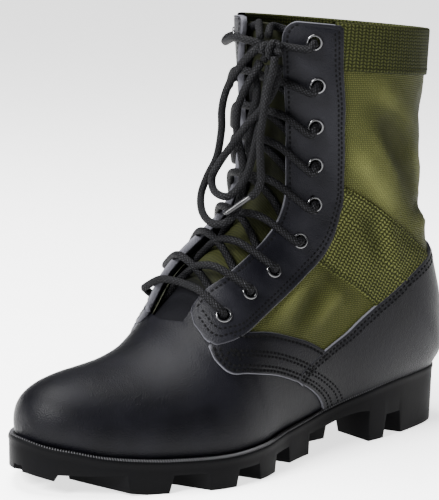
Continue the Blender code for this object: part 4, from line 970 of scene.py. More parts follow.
class Finish:
    """One material in the making."""

    def __init__(self, name):
        self.material = bpy.data.materials.new(name)
        self.material.use_nodes = True
        self.tree = self.material.node_tree
        self.shader = self.tree.nodes["Principled BSDF"]

    def node(self, kind, settings=None, output=0, **values):
        """A node of this kind, its settings first and then its sockets."""
        made = self.tree.nodes.new(kind)
        for word, setting in (settings or {}).items():
            setattr(made, word, setting)
        for word, value in values.items():
            plug(self.tree, made.inputs[word.replace("_", " ")], value)
        return Wire(self.tree, made.outputs[output])

    def spot(self):
        """Place on the boot, in metres."""
        return self.node("ShaderNodeTexCoord", output=3)

    def lay(self):
        """The two numbers of the piece's flat lay, in millimetres."""
        return self.node("ShaderNodeUVMap", {"uv_map": "lay"}).parts()[:2]

    def mark(self, word):
        return self.node("ShaderNodeAttribute", {"attribute_name": word}, 2)

    def cloud(self, size, detail=3.0, rough=0.55):
        """Soft noise whose spots are about this size in millimetres."""
        return self.node(
            "ShaderNodeTexNoise", Vector=self.spot(), Scale=1.0 / (size * MM), Detail=detail, Roughness=rough
        )

    def pebbles(self, size):
        """Distance from the middles of small cells of about this size in millimetres."""
        return self.node(
            "ShaderNodeTexVoronoi", {"feature": "F1"}, Vector=self.spot(), Scale=1.0 / (size * MM),
            Randomness=1.0,
        )

    def mix(self, share, first, second):
        """A colour between two others."""
        made = self.tree.nodes.new("ShaderNodeMix")
        made.data_type = "RGBA"
        plug(self.tree, made.inputs[0], share)
        plug(self.tree, made.inputs[6], first if isinstance(first, Wire) else (*first, 1.0))
        plug(self.tree, made.inputs[7], second if isinstance(second, Wire) else (*second, 1.0))
        return Wire(self.tree, made.outputs[2])

    def bump(self, height, depth, strength=1.0, under=None):
        """Relief of a height of 0 to 1, its depth in millimetres."""
        values = {"Height": height, "Distance": depth * MM, "Strength": strength}
        if under is not None:
            values["Normal"] = under
        return self.node("ShaderNodeBump", **values)

    def set(self, **values):
        """Sets the shader's own sockets; a bare colour gets its alpha."""
        for word, value in values.items():
            if isinstance(value, tuple) and len(value) == 3:
                value = (*value, 1.0)
            plug(self.tree, self.shader.inputs[word.replace("_", " ")], value)
        return self.material


def weave(a, b):
    """Height of a plain weave, 0 to 1, of two wires that count the threads, and which thread is on top."""
    over = ((a.floor() + b.floor()) / 2.0).part() * 2.0
    crown_a, crown_b = a.part().wave(), b.part().wave()
    first = crown_a * (0.5 + 0.5 * crown_b)
    second = crown_b * (0.5 + 0.5 * crown_a)
    return first * over + second * (1.0 - over), over


def leather_finish(name, look, dark=None, light=None):
    """Smooth leather: fine pores, soft cloudy gloss and pale raw edges."""
    made = Finish(name)
    dark, light = dark or look.leather_dark, light or look.leather_light
    patchy = made.cloud(26.0)
    fine = made.cloud(3.5)
    colour = made.mix(patchy.within(0.35, 0.65), dark, light)
    rim = made.mark("rim") * (0.75 + 0.25 * fine)
    colour = made.mix(rim, colour, look.raw_edge)
    grain = made.pebbles(look.grain_size) * 0.6 + made.cloud(0.9, 2.0) * 0.6
    under = made.bump(fine, 0.3, 0.4)
    return made.set(
        Base_Color=colour, Roughness=look.leather_roughness + 0.12 * patchy + 0.1 * rim - 0.06,
        Specular_IOR_Level=0.06,
        Normal=made.bump(grain, 0.22, 1.0, under),
    )


def stay_leather_finish(name, look):
    """The facings' leather, a little paler than the vamp's."""
    return leather_finish(name, look, look.leather_light, look.stay_light)


def nylon_finish(name, look):
    """Woven nylon: fine basket weave, with a painted highlight on its upper threads and fold ridges and
    painted shade in its fold hollows.
    """
    made = Finish(name)
    u, v = made.lay()
    height, over = weave(u / look.thread_pitch, v / look.thread_pitch)
    drift = made.cloud(18.0)
    colour = made.mix(height ** 2.2, look.nylon_dark, look.nylon_light)
    fold = made.mark("fold")
    # Painted highlight: a fifth of the way towards the shine colour on the upper threads, and up to three
    # quarters more on the fold ridges
    colour = made.mix(over * 0.2 + fold.within(0.45, 0.95) * 0.75, colour, look.nylon_painted_shine)
    # Painted shade, deepest in the fold hollows and faint over the rest, uneven in random patches
    colour = made.mix((1.0 - fold.within(0.0, 0.5) * 0.8 - drift.within(0.3, 0.6) * 0.2) * 0.8, colour,
                      look.painted_shade_and_thread_olive)
    return made.set(
        Base_Color=colour, Roughness=0.5 + 0.2 * (1.0 - height), Specular_IOR_Level=0.04,
        Normal=made.bump(height, 0.3, 0.9, made.bump(drift, 0.8, 0.4)),
    )


def tongue_finish(name, look):
    """The tongue's nylon, dulled by wear, with painted shade of the throat over all of it that deepens
    towards its top.
    """
    made = Finish(name)
    u, v = made.lay()
    height, _ = weave(u / look.thread_pitch, v / look.thread_pitch)
    worn = made.cloud(14.0)
    colour = made.mix(height * 0.7 + worn * 0.2, look.webbing_dark, look.nylon_light)
    _, _, up = made.spot().parts()
    # Painted shade of the throat: a quarter of the way towards dark leather everywhere, half more above 150
    # mm, and a little more in the worn patches
    colour = made.mix(worn.within(0.3, 0.75) * 0.2 + up.within(0.09, 0.15) * 0.5 + 0.25, colour,
                      look.leather_dark)
    colour = made.mix(made.mark("rim"), colour, look.leather_dark)
    return made.set(Base_Color=colour, Roughness=0.7 + 0.1 * worn, Specular_IOR_Level=0.04,
                    Normal=made.bump(height, 0.16, 0.7))


def webbing_finish(name, look):
    """Heavy webbing: columns of slanting yarns that lean one way and then the other, with painted shade in
    the hollows of its folds.
    """
    made = Finish(name)
    u, v = made.lay()
    row = u / look.rib_pitch
    lean = ((row.floor() / 2.0).part() * 4.0) - 1.0
    slant = v / look.yarn_pitch + (row.part() - 0.5) * lean * 0.55
    height = (slant.part().wave() ** 0.7) * (row.part().wave() ** 0.6)
    dust = made.cloud(9.0)
    colour = made.mix(height ** 2.2, look.webbing_dark, look.webbing_light)
    colour = made.mix(dust.within(0.45, 0.8) * 0.35, colour, look.webbing_dark)
    # Painted shade: darker towards the dark yarn colour in the fold hollows; a piece without the fold mark,
    # as the collar, gets it all over
    colour = made.mix((1.0 - made.mark("fold").within(0.0, 0.5)) * 0.6, colour, look.webbing_dark)
    return made.set(
        Base_Color=colour, Roughness=0.66 + 0.1 * dust, Specular_IOR_Level=0.04,
        Normal=made.bump(height, 0.45, 0.9),
    )


def rubber_finish(name, look):
    """Moulded rubber: dull and faintly mottled, with a fine texture."""
    made = Finish(name)
    broad, fine = made.cloud(22.0), made.cloud(1.1)
    colour = made.mix(broad.within(0.3, 0.75), look.rubber_dark, look.rubber_light)
    return made.set(
        Base_Color=colour, Roughness=0.5 + 0.18 * broad, Specular_IOR_Level=0.035,
        Normal=made.bump(fine, 0.12, 0.5, made.bump(made.cloud(6.0), 0.3, 0.3)),
    )


def teeth_finish(name, look):
    """The rubber of the ledge's fine teeth, their tops painted paler as a highlight."""
    made = Finish(name)
    sparkle = made.cloud(2.2)
    # Painted highlight on the tooth tops, broken into patches
    colour = made.mix(made.mark("rim") * (0.35 + 0.65 * sparkle), look.rubber_dark, look.rubber_painted_highlight)
    return made.set(Base_Color=colour, Roughness=0.35 + 0.2 * sparkle, Specular_IOR_Level=0.1,
                    Normal=made.bump(sparkle, 0.2, 0.5))


def enamel_finish(name, look):
    """Black enamel on rolled metal, worn bright along its crown."""
    made = Finish(name)
    worn = (0.15 + 0.85 * made.cloud(3.2).within(0.45, 0.62)) * made.mark("rim")
    return made.set(
        Base_Color=made.mix(worn, look.enamel, look.enamel_worn), Metallic=0.3 + 0.7 * worn,
        Roughness=0.16 + 0.1 * made.cloud(4.0), Coat_Weight=0.6, Coat_Roughness=0.08,
        Normal=made.bump(made.cloud(0.9), 0.05, 0.3),
    )


def braid_finish(name, look):
    """Round braided lace: two sets of slanting strands with paler flecks."""
    made = Finish(name)
    u, v = made.lay()
    around, along = u / 2.02, v / look.braid_pitch
    height, _ = weave(around + along, along - around)
    fleck = made.cloud(0.9).within(0.56, 0.68)
    colour = made.mix(height ** 5.0, look.lace_dark, look.lace_light)
    colour = made.mix(fleck * height ** 3.0 * 0.4, colour, look.lace_fleck)
    return made.set(
        Base_Color=colour, Roughness=0.7 - 0.1 * height, Specular_IOR_Level=0.06,
        Normal=made.bump(height, 0.4, 0.9),
    )


def twisted_thread(name, dark, light, roughness, specular):
    """Sewing thread, its twist paler on the outside."""
    made = Finish(name)
    twist = made.node("ShaderNodeTexWave", Vector=made.spot(), Scale=900.0, Distortion=2.0)
    return made.set(
        Base_Color=made.mix(twist, dark, light), Roughness=roughness + 0.1 * twist,
        Specular_IOR_Level=specular, Normal=made.bump(twist, 0.08, 0.6),
    )


def thread_finish(name, look):
    """Waxed black sewing thread."""
    return twisted_thread(name, look.thread_dark, look.thread_light, 0.8, 0.05)


def olive_thread_finish(name, look):
    """Olive sewing thread of the webbing."""
    return twisted_thread(name, look.webbing_dark, look.painted_shade_and_thread_olive, 0.6, 0.04)


def lining_finish(name, look):
    """Plain cloth inside the boot."""
    made = Finish(name)
    _, across, up = made.spot().parts()
    height, _ = weave(across * 900.0, up * 900.0)
    colour = made.mix(height * 0.6 + made.cloud(12.0) * 0.4, look.lining_dark, look.lining_light)
    return made.set(Base_Color=colour, Roughness=0.85 - 0.08 * height, Normal=made.bump(height, 0.12, 0.6))


def felt_finish(name, look):
    """Pressed felt of the insole."""
    made = Finish(name)
    fibres = made.cloud(0.7, 6.0, 0.8)
    colour = made.mix(fibres, look.felt_dark, look.felt_light)
    return made.set(Base_Color=colour, Roughness=0.82 + 0.1 * fibres, Normal=made.bump(fibres, 0.3, 0.7))


def tip_finish(name, look):
    """Glossy plastic of the lace tip, faintly streaked along it."""
    made = Finish(name)
    streak = made.cloud(2.4)
    return made.set(
        Base_Color=made.mix(streak, look.tip_dark, look.tip_light),
        Roughness=0.25 + 0.1 * streak, Specular_IOR_Level=0.3, Coat_Weight=0.05,
        Normal=made.bump(streak, 0.06, 0.4),
    )


MAKERS = {
    "leather": leather_finish, "stay_leather": stay_leather_finish, "nylon": nylon_finish,
    "tongue_cloth": tongue_finish, "webbing": webbing_finish, "rubber": rubber_finish, "teeth": teeth_finish,
    "enamel": enamel_finish, "braid": braid_finish, "thread": thread_finish,
    "thread_olive": olive_thread_finish, "lining": lining_finish, "felt": felt_finish, "lace_tip": tip_finish,
}


def finish(word):
    """The boot's finish of this name, made once."""
    name = "boot_" + word
    return bpy.data.materials.get(name) or MAKERS[word](name, bpy.context.scene.boot_look)


def settle(obj, slot, *nodes):
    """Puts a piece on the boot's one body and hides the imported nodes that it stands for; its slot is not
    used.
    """
    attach(obj, "root")
    if nodes:
        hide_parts(*nodes)
    return obj


def stay_lines(side):
    """A facing's flat pattern, its back edge and tip from the collar down, and its throat edge up again."""
    pattern = Flat("ridge", side)
    back, tip = EYESTAY_BACK[side], EYESTAY_TIP[side]
    edge = np.vstack([smooth_route(back + tip[:1], LINE_SPACING), spaced(np.array(tip), LINE_SPACING)[1:]])
    line = pattern.flat(edge)
    top = (PLACES[-1] - 0.05) * RIDGE_SCALE
    line = line[line[:, 0] < top]
    line = np.vstack([[top, line[0, 1]], line])
    low = line[-1, 0] / RIDGE_SCALE + 0.25
    places = np.linspace(low, PLACES[-1] - (1.8 if side == LATERAL else 0.7), 90)
    front = np.stack([places * RIDGE_SCALE, throat_distance(side, places)], 1)
    return pattern, line, front


def stay_ring(side, look):
    """Closed outline of a facing, with its rounded corner at the top."""
    pattern, back, front = stay_lines(side)
    radius = look.corner_radius if side == LATERAL else look.corner_radius * 0.45
    corner = np.array([back[0, 0], front[-1, 1]])
    turn = np.linspace(0, math.pi / 2, 9)
    reach = corner[0] - front[-1, 0]
    arc = np.stack([corner[0] - reach * (1 - np.sin(turn)), corner[1] + radius * (1 - np.cos(turn))], 1)
    ring = np.vstack([back, front, arc])
    ring = spaced(np.vstack([ring, ring[:1]]), LINE_SPACING)[:-1]
    return pattern, back, front, arc, turned_ring(ring)


def make_facing(side, look):
    """One facing: leather with nine holes, sewn along its throat edge and twice along its back edge."""
    pattern, back, front, arc, ring = stay_ring(side, look)
    eyes = [pair[0 if side == LATERAL else 1] for pair in PAIRS]
    holes = []
    for eye in eyes:
        middle = np.array([eye.place * RIDGE_SCALE, (1 - eye.share) * FORM.length(side, eye.place)])
        around = np.linspace(0, 2 * math.pi, 20, endpoint=False)
        before, after = (FORM.at(side, eye.place + step, eye.share) for step in (-0.1, 0.1))
        stretch = np.linalg.norm(after - before) / (0.2 * RIDGE_SCALE)
        holes.append(middle + np.stack([np.cos(around) / stretch, np.sin(around)], 1) * 3.9)
    word = SIDE_WORD[side]
    closed = np.vstack([ring, ring[:1]])
    piece = patch(pattern, ring, closed, GAP + look.leather, finish("stay_leather"), f"facing_{word}",
                  spacing=2.4, grooves=(look.seam_inset,), holes=holes, back=-2.4)
    settle(piece, "black_leather", f"eyestay_{word}")
    inset = look.seam_inset
    whole = np.vstack([back, front, arc])
    step = 1 if turned_ring(whole) is whole else -1
    lines = []
    for distance, part in ((inset, np.vstack([front, arc])), (inset, back), (inset + 2.4, back)):
        line = shifted(spaced(part, LINE_SPACING), distance * step)
        lines.append(line[inside(line, ring) & (distance_to(line, ring) > 0.9 * distance)])
    seam = stitches(f"facing_seams_{word}", pattern, lines, GAP + look.leather - STITCH_SINK,
                    finish("thread"))
    settle(seam, "black_cord")


def side_ring(line):
    """Closed outline of a piece in the side view, its points evenly spaced."""
    line = np.asarray(line, float)
    return turned_ring(spaced(np.vstack([line, line[:1]]), LINE_SPACING)[:-1])


# Free edges that don't meet are one line, which passes from one to the other this far off the boot
FAR_OFF = 400.0


def make_panel(side, look):
    """Side panel low on the quarter: its long edges are free, its ends lie under their neighbours."""
    pattern = Flat("side", side)
    low = smooth_route(PANEL_BOTTOM + ((13.0, 44.0),), 2.0)
    high = smooth_route(((36.0, 58.0),) + PANEL_TOP + ((-38.0, 82.0),), 2.0)
    ring = side_ring(np.vstack([low, [[26.0, 46.0], [36.0, 54.0]], high, [[-40.0, 86.0], [-47.0, 79.0]]]))
    word = SIDE_WORD[side]
    top = GAP + look.leather - 0.3
    free = np.vstack([low, [[FAR_OFF, 0.0], [FAR_OFF, 300.0]], high])
    piece = patch(pattern, ring, free, top, finish("leather"), f"quarter_panel_{word}", grooves=(2.6,))
    settle(piece, "black_leather", f"side_panel_{word}")
    rows = [shifted(low, d) for d in (2.0, 4.3, 9.6, 11.9)] + [shifted(high, 2.6)]
    tack = np.array([[-45.5, 66.5], [-43.5, 70.5], [-40.0, 71.5], [-37.0, 69.5], [-38.5, 66.0]])
    rows.append(smooth_route(tack, 1.0))
    rows = [row[inside(row, ring)] for row in rows]
    seam = stitches(f"quarter_seams_{word}", pattern, rows, top - STITCH_SINK, finish("thread"),
                    3.1, 2.5, 1.7, 0.75)
    settle(seam, "black_cord")


def make_band(side, look):
    """Webbing over the ankle, from under the facing to under the heel counter."""
    pattern = Flat("side", side)
    top = smooth_route(((40.0, 159.5),) + BAND_TOP + ((128.0, 98.0),), 2.0)
    low = smooth_route(((84.0, 76.0),) + BAND_BOTTOM + ((20.0, 118.0),), 2.0)
    ring = side_ring(np.vstack([top, low]))
    ring = ring[ring[:, 1] > 70]
    free = np.vstack([top, [[FAR_OFF, 98.0], [FAR_OFF, 76.0]], low])
    word = SIDE_WORD[side]
    angle = math.atan2(120.5 - 156.5, 101.2 - 46.0)
    piece = patch(pattern, ring, free, GAP + look.webbing, finish("webbing"), f"ankle_webbing_{word}",
                  lay_angle=angle)
    settle(piece, "olive_webbing", f"ankle_band_{word}")
    rows = [shifted(top, -1.8), shifted(low, -1.8)]
    rows = [row[inside(row, ring)] for row in rows]
    seam = stitches(f"ankle_seams_{word}", pattern, rows, GAP + look.webbing - STITCH_SINK,
                    finish("thread_olive"), 2.4, 1.6)
    settle(seam, "olive_webbing")


def counter_lines(side):
    """The heel counter's pattern, its top edge from front to back, and its front edge from the top down."""
    pattern = Flat("keel", side)
    top = pattern.flat(smooth_route(COUNTER_TOP, LINE_SPACING))
    closing = np.array([[24.22 * KEEL_SCALE, 0.0]])
    top = np.vstack([top[top[:, 1] > 8.0], closing])
    front = pattern.flat(smooth_route(COUNTER_FRONT, LINE_SPACING))
    return pattern, top, front[::-1]


def make_counter(look):
    """Heel counter: its two halves are cut flat and welded at the back."""
    halves, seams = [], []
    for side in (LATERAL, MEDIAL):
        pattern, top, front = counter_lines(side)
        low = np.stack([np.linspace(front[-1, 0], top[-1, 0], 80), np.zeros(80)], 1)[1:-1]
        ring = turned_ring(spaced(np.vstack([top[::-1], front, low, top[-1:]]), 1.7)[:-1])
        free = np.vstack([top[::-1], front])
        halves.append(patch(pattern, ring, free, GAP + look.leather, finish("leather"),
                            "heel_counter_half_" + SIDE_WORD[side], spacing=3.0, grooves=(2.6,)))
        rows = [shifted(top, d) for d in (-2.4, -4.8)] + [shifted(front, d) for d in (2.4, 4.6, 8.0, 10.2)]
        rows = [row[inside(row, ring)] for row in rows]
        rows = [row for row in rows if len(row) > 4]
        seams.append(stitches("counter_seams_" + SIDE_WORD[side], pattern, rows,
                              GAP + look.leather - STITCH_SINK, finish("thread"), 3.1, 2.4, 1.5, 0.65))
    whole = joined(halves, "heel_counter_leather")
    weld(whole, 0.15)
    settle(whole, "black_leather", "heel_counter")
    settle(joined(seams, "counter_seams"), "black_cord")


def joined(pieces, name):
    """Several mesh objects made one."""
    first = pieces[0]
    with bpy.context.temp_override(active_object=first, object=first, selected_editable_objects=pieces,
                                   selected_objects=pieces):
        bpy.ops.object.join()
    first.name = first.data.name = name
    return first


def cloth_lay(points):
    """Flat lay of the shaft's cloth: forwards and backwards from the flank, and upwards."""
    middle_y, half_x, half_y = 66.0, 43.0, 62.0
    turn = np.linspace(0, math.pi / 2, 60)
    steps = np.hypot(np.diff(np.cos(turn)) * half_x, np.diff(np.sin(turn)) * half_y)
    arc = np.r_[0.0, np.cumsum(steps)]
    across = np.abs(points[:, 0] - FOOT_CENTRE_X)
    angle = np.arctan2(np.clip(points[:, 1] - middle_y, 0, None) / half_y, across / half_x)
    around = np.interp(angle, turn, arc)
    u = np.where(points[:, 1] < middle_y, points[:, 1] - middle_y, around)
    u = np.where(points[:, 0] < FOOT_CENTRE_X, 2 * arc[-1] - u, u)
    return np.stack([u, points[:, 2]], 1)


def upper_edge(side, places, lap):
    """Shares at which the upper's skin ends under the facing, or at the ridge in front of the throat."""
    _, back, _ = stay_lines(side)
    order = np.argsort(back[:, 0])
    under = np.interp(places * RIDGE_SCALE, back[order, 0], back[order, 1]) - lap
    throat = throat_distance(side, places)
    distance = np.where(places < THROAT_STATION + 0.9, throat, np.maximum(under, throat))
    distance = np.where(places < THROAT_STATION + 0.1, 0.0, distance)
    return 1 - distance / FORM.length(side, places)


# Where the leather of the vamp ends, hidden under the side panel and the counter: y, z
VAMP_REAR = (
    (-37.0, 71.0), (-30.0, 69.0), (-10.0, 66.0), (9.0, 59.0), (22.0, 50.0), (34.0, 40.0), (48.0, 22.0),
)


def facing_width(side):
    """Distance of a facing's back edge from the ridge, near the top."""
    _, back, _ = stay_lines(side)
    return float(np.interp(28.0 * RIDGE_SCALE, back[::-1, 0], back[::-1, 1]))


def under_facing(side, places, rows):
    """Which points of the upper lie under the top of a facing, where its leather alone makes the wall."""
    reach = facing_width(side) - 3.0
    return (places[:, None] > PLACES[-1] - 2.1) & ((1 - rows) * FORM.length(side, places)[:, None] < reach)


def make_upper():
    """The skins of the upper: leather vamp in front, woven shaft behind, and the cloth that lines them."""
    places = np.unique(np.r_[np.arange(0.0, 4.0, 0.125), np.arange(4.0, PLACES[-1] + 0.01, 0.25)])
    columns = np.linspace(0.0, 1.0, 61)
    parts = {"vamp": ([], []), "shaft": ([], [])}
    for side in (LATERAL, MEDIAL):
        edge = upper_edge(side, places, 9.0)
        rows = np.array([np.clip(columns * part, 0, 1) for part in edge])
        base = FORM.at(side, places[:, None], rows)
        rear = np.interp(base[..., 1], *zip(*VAMP_REAR))
        leather = (base[..., 2] < rear) | (base[..., 1] < VAMP_REAR[0][0])
        relief = np.where(leather, 0.0, folds(base))
        points = FORM.at(side, places[:, None], rows, relief).reshape(-1, 3)
        faces = np.array(grid_faces(len(places), len(columns)))
        faces = faces[~under_facing(side, places, rows).ravel()[faces].any(1)]
        marked = leather.ravel()[faces].all(1)
        for word, chosen in (("vamp", marked), ("shaft", ~marked)):
            all_points, all_faces = parts[word]
            offset = sum(len(block) for block in all_points)
            all_points.append(points)
            all_faces += (faces[chosen] + offset).tolist()
    for word, cloth, slot in (("vamp", "leather", "black_leather"), ("shaft", "nylon", "olive_nylon")):
        points = np.vstack(parts[word][0])
        used, faces = np.unique(np.array(parts[word][1]), return_inverse=True)
        points, faces = points[used], faces.reshape(-1, 4)
        piece = new_mesh(word, points, faces, [finish(cloth)], uv=cloth_lay(points),
                         marks={"rim": np.zeros(len(points)), "fold": fold_mark(points)})
        weld(piece, 0.005)
        settle(piece, slot)
    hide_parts("upper")
    points, faces = [], []
    for side in (LATERAL, MEDIAL):
        edge = 1 - throat_distance(side, places) / FORM.length(side, places)
        edge = np.where(places < THROAT_STATION, 1.0, edge)
        rows = np.array([np.linspace(0.0, part, 31) for part in edge])
        base = FORM.at(side, places[:, None], rows)
        offset = sum(len(block) for block in points)
        points.append(FORM.at(side, places[:, None], rows, folds(base) - 2.0).reshape(-1, 3))
        seen = np.array(grid_faces(len(places), 31))
        seen = seen[~under_facing(side, places, rows).ravel()[seen].any(1)]
        faces += (seen + offset).tolist()
    lining = new_mesh("lining", np.vstack(points), faces, [finish("lining")])
    weld(lining, 0.005)
    settle(lining, "olive_nylon")


def make_collar(look):
    """Collar webbing: outside from its lower edge, over the rim, and down again inside."""
    pieces = []
    for side in (LATERAL, MEDIAL):
        pattern = Flat("ridge", side)
        low = pattern.flat(smooth_route(COLLAR_BOTTOM, LINE_SPACING))
        near = facing_width(side) - 6.0
        thick = GAP + look.webbing
        # Share of the way from the lower edge to the rim, height over the form, rise above the rim
        profile = [(0.0, -0.1, 0.0), (0.0, thick - 0.4, 0.0), (0.02, thick, 0.0)]
        profile += [(share, thick, 0.0) for share in np.linspace(0.08, 0.97, 12)]
        profile += [(1.0, thick - 0.1, 0.4), (1.0, thick - 0.9, 1.1), (1.0, -1.0, 1.3), (1.0, -3.0, 0.9),
                    (1.0, -3.5, 0.2)]
        profile += [(share, -3.5, 0.0) for share in np.linspace(0.95, 0.1, 10)] + [(0.06, -2.2, 0.0)]
        shares = np.linspace(0.0, 1.0, 70)
        rows, lay, rise = [], [], 0.0
        length = FORM.length(side, PLACES[-1])
        distance = near + (length - near) * (1 - shares)
        for part, height, above in profile:
            bottom = np.interp(distance / length, low[:, 1] / FORM.length(side, low[:, 0] / RIDGE_SCALE),
                               low[:, 0]) / RIDGE_SCALE
            place = bottom + (PLACES[-1] - 0.01 - bottom) * part
            across = 1 - distance / length
            base = FORM.at(side, place, across)
            ring = FORM.at(side, place, across, height + folds(base) * (1 - part)) + (0.0, 0.0, above)
            if rows:
                rise += np.linalg.norm(ring[35] - rows[-1][35])
            rows.append(ring)
            around = np.r_[0.0, np.cumsum(np.linalg.norm(np.diff(base, axis=0), axis=1))]
            lay.append(np.stack([around * side, np.full(len(ring), rise)], 1))
        pieces.append(new_mesh("collar_half_" + SIDE_WORD[side], np.vstack(rows),
                               grid_faces(len(rows), len(shares)), [finish("webbing")], uv=np.vstack(lay)))
        seam = np.stack([low[:, 0] + 1.6, low[:, 1]], 1)
        seam = seam[seam[:, 1] > near + 6.0]
        row = stitches("collar_seam_" + SIDE_WORD[side], pattern, [seam], thick - STITCH_SINK,
                       finish("thread_olive"), 2.4, 1.6)
        settle(row, "olive_webbing")
    collar = joined(pieces, "collar_webbing")
    weld(collar)
    settle(collar, "olive_webbing", "collar_band")


def make_tongue():
    """Tongue: a soft strip under the throat, a little crumpled along it."""
    places = np.linspace(10.25, 28.25, 110)
    sink = np.interp(places, [10.2, 10.5, 11.6, 30.0], [2.5, 2.5, 8.6, 8.6])
    rows = []
    for place, depth in zip(places, sink):
        row = []
        for side in (LATERAL, MEDIAL):
            distance = throat_distance(side, place) + 11.0
            shares = 1 - np.linspace(1.0, 0.0, 15) * distance / FORM.length(side, place)
            part = FORM.at(side, np.full(15, place), shares)
            ripple = 0.5 * np.sin(part[:, 2] * 0.33 + part[:, 0] * 0.12) * np.clip(depth / 8.6 - 0.4, 0, 1)
            points = FORM.at(side, np.full(15, place), shares, ripple - depth)
            row.append(points if side == LATERAL else points[::-1][1:])
        rows.append(np.vstack(row))
    columns = len(rows[0])
    points = np.vstack(rows)
    lay = np.stack([np.tile(np.linspace(-35, 35, columns), len(rows)),
                    np.repeat(np.linspace(0, 190, len(rows)), columns)], 1)
    dark_end = np.repeat(np.interp(places, [12.0, 13.6], [1.0, 0.0]), columns)
    tongue = new_mesh("tongue_strip", points, grid_faces(len(rows), columns), [finish("tongue_cloth")],
                      uv=lay, marks={"rim": dark_end})
    thick = tongue.modifiers.new("thickness", "SOLIDIFY")
    thick.thickness, thick.offset = 2.0 * MM, -1.0
    settle(tongue, "olive_nylon", "tongue")


# Rolled eyelet: radius, height over the facing; its bright crown is the sixth and seventh row
EYELET_PROFILE = (
    (2.95, -4.6), (2.95, -0.4), (2.98, 0.25), (3.15, 0.75), (3.5, 1.05), (3.95, 1.12),
    (4.35, 0.95), (4.65, 0.6), (4.78, 0.15), (4.7, -0.25), (3.6, -0.3), (3.5, -4.6),
)


def make_eyelets(look):
    """Eighteen rolled rings through the facings, each on its own axis."""
    for pair, (label, *_) in zip(PAIRS, EYELETS):
        for eye in pair:
            first = np.cross(eye.axis, (0.0, 0.3, 1.0))
            first /= np.linalg.norm(first)
            second = np.cross(eye.axis, first)
            turn = np.linspace(0, 2 * math.pi, 40, endpoint=False)
            round_way = np.outer(np.cos(turn), first) + np.outer(np.sin(turn), second)
            floor = GAP + look.leather
            points = [
                eye.point + eye.axis * (floor + height) + round_way * radius
                for radius, height in EYELET_PROFILE
            ]
            count, rows = len(turn), len(EYELET_PROFILE)
            faces = ring_faces(rows, count, closed=True)
            crown = np.repeat([1.0 if row in (5, 6) else 0.0 for row in range(rows)], count)
            word = f"{SIDE_WORD[eye.side]}_{label}"
            ring = new_mesh("ring_" + word, np.vstack(points), faces, [finish("enamel")],
                            marks={"rim": crown})
            weld(ring)
            settle(ring, "black_enamel", "eyelet_" + word)


def make_laces(look):
    """The bar over the lowest pair, the eight crossings, and the leads to the knot."""
    radius = look.lace / 2
    lateral, medial = PAIRS[-1]
    route = crossing_route(lateral, medial, BAR_HEIGHTS, ENTRY[::-1])
    settle(tube("lace_bar_cord", [route], radius, finish("braid")), "black_cord", "lace_bar")
    for number, (high, low) in enumerate(zip(PAIRS[:-1], PAIRS[1:]), 1):
        routes = [crossing_route(start, end, CROSSING_HEIGHTS, EXIT)
                  for start, end in ((low[0], high[1]), (low[1], high[0]))]
        cord = tube(f"crossing_{number}", routes, radius, finish("braid"))
        settle(cord, "black_cord", f"lace_cross_{number}")
    lateral, medial = PAIRS[0]
    for word, start, end, way_inside, last in (
        ("lateral", lateral, medial, LEAD_LATERAL, LEAD_LATERAL_END),
        ("medial", medial, lateral, LEAD_MEDIAL, LEAD_MEDIAL_END),
    ):
        way = [above_form(start, end, share, height) + (0.0, 0.0, rise) for share, height, rise in way_inside]
        route = smooth_route(np.array(beside(start, end, LEAD_START) + way + [np.array(last)]), CORD_SPACING)
        free_cord(f"lead_{word}", route, f"lace_lead_{word}", look)


def free_cord(name, route, node, look):
    """A free cord on its route, in a tube."""
    cord = tube(name, [route], look.lace / 2, finish("braid"))
    settle(cord, "black_cord", node)
    return cord


def make_bow(look):
    """Two loops and two ends that hang from the knot; the long end has a slim moulded tip."""
    for word, points, far_end in (
        ("loop_outer", OUTER_LOOP, "object"), ("loop_inner", INNER_LOOP, "object"),
        ("end_short", SHORT_END, "bare"),
    ):
        free_cord(word, smooth_route(points, CORD_SPACING), "bow_" + word, look)
    whole = smooth_route(LONG_END, CORD_SPACING)
    cut = int(len(whole) * 0.83)
    sizes = np.interp(np.arange(len(whole) - cut + 2), [0, 2, len(whole) - cut + 1], [1.75, 1.6, 1.35])
    tip_route = whole[cut - 2:]
    sides = 18
    rings = tube_rings(tip_route, sizes[:len(tip_route)], sides)
    points = np.vstack(rings + [tip_route[:1], tip_route[-1:] + (tip_route[-1] - tip_route[-2]) * END_STEP])
    last = (len(rings) - 1) * sides
    faces = ring_faces(len(rings), sides)
    faces += [[len(points) - 2, (k + 1) % sides, k] for k in range(sides)]
    faces += [[len(points) - 1, last + k, last + (k + 1) % sides] for k in range(sides)]
    tip = settle(new_mesh("lace_tip", points, faces, [finish("lace_tip")]), "black_enamel")
    free_cord("end_long", whole[:cut], "bow_end_long", look)


# The knot's turns round its middle: angle in degrees, distance out, along; as turns of one cord
KNOT_TURNS = (
    (0, 4.4, -3.4), (60, 4.2, -2.6), (120, 3.6, -1.6), (180, 3.4, -0.6), (240, 3.8, 0.4), (300, 4.2, 1.2),
    (360, 4.4, 2.0), (420, 4.0, 2.8), (480, 3.4, 3.4),
)


# Two short cords through the knot: along, up, out
KNOT_THROUGH = (
    ((-7.0, 1.6, 1.0), (-3.0, 1.2, 0.8), (1.0, 0.4, 0.8), (4.6, -1.4, 0.6), (6.6, -3.4, 0.4)),
    ((-5.6, -4.4, 1.0), (-3.4, -2.0, 0.4), (0.0, -0.4, -0.6), (3.4, 0.8, -0.6), (5.6, 3.0, -1.0)),
)


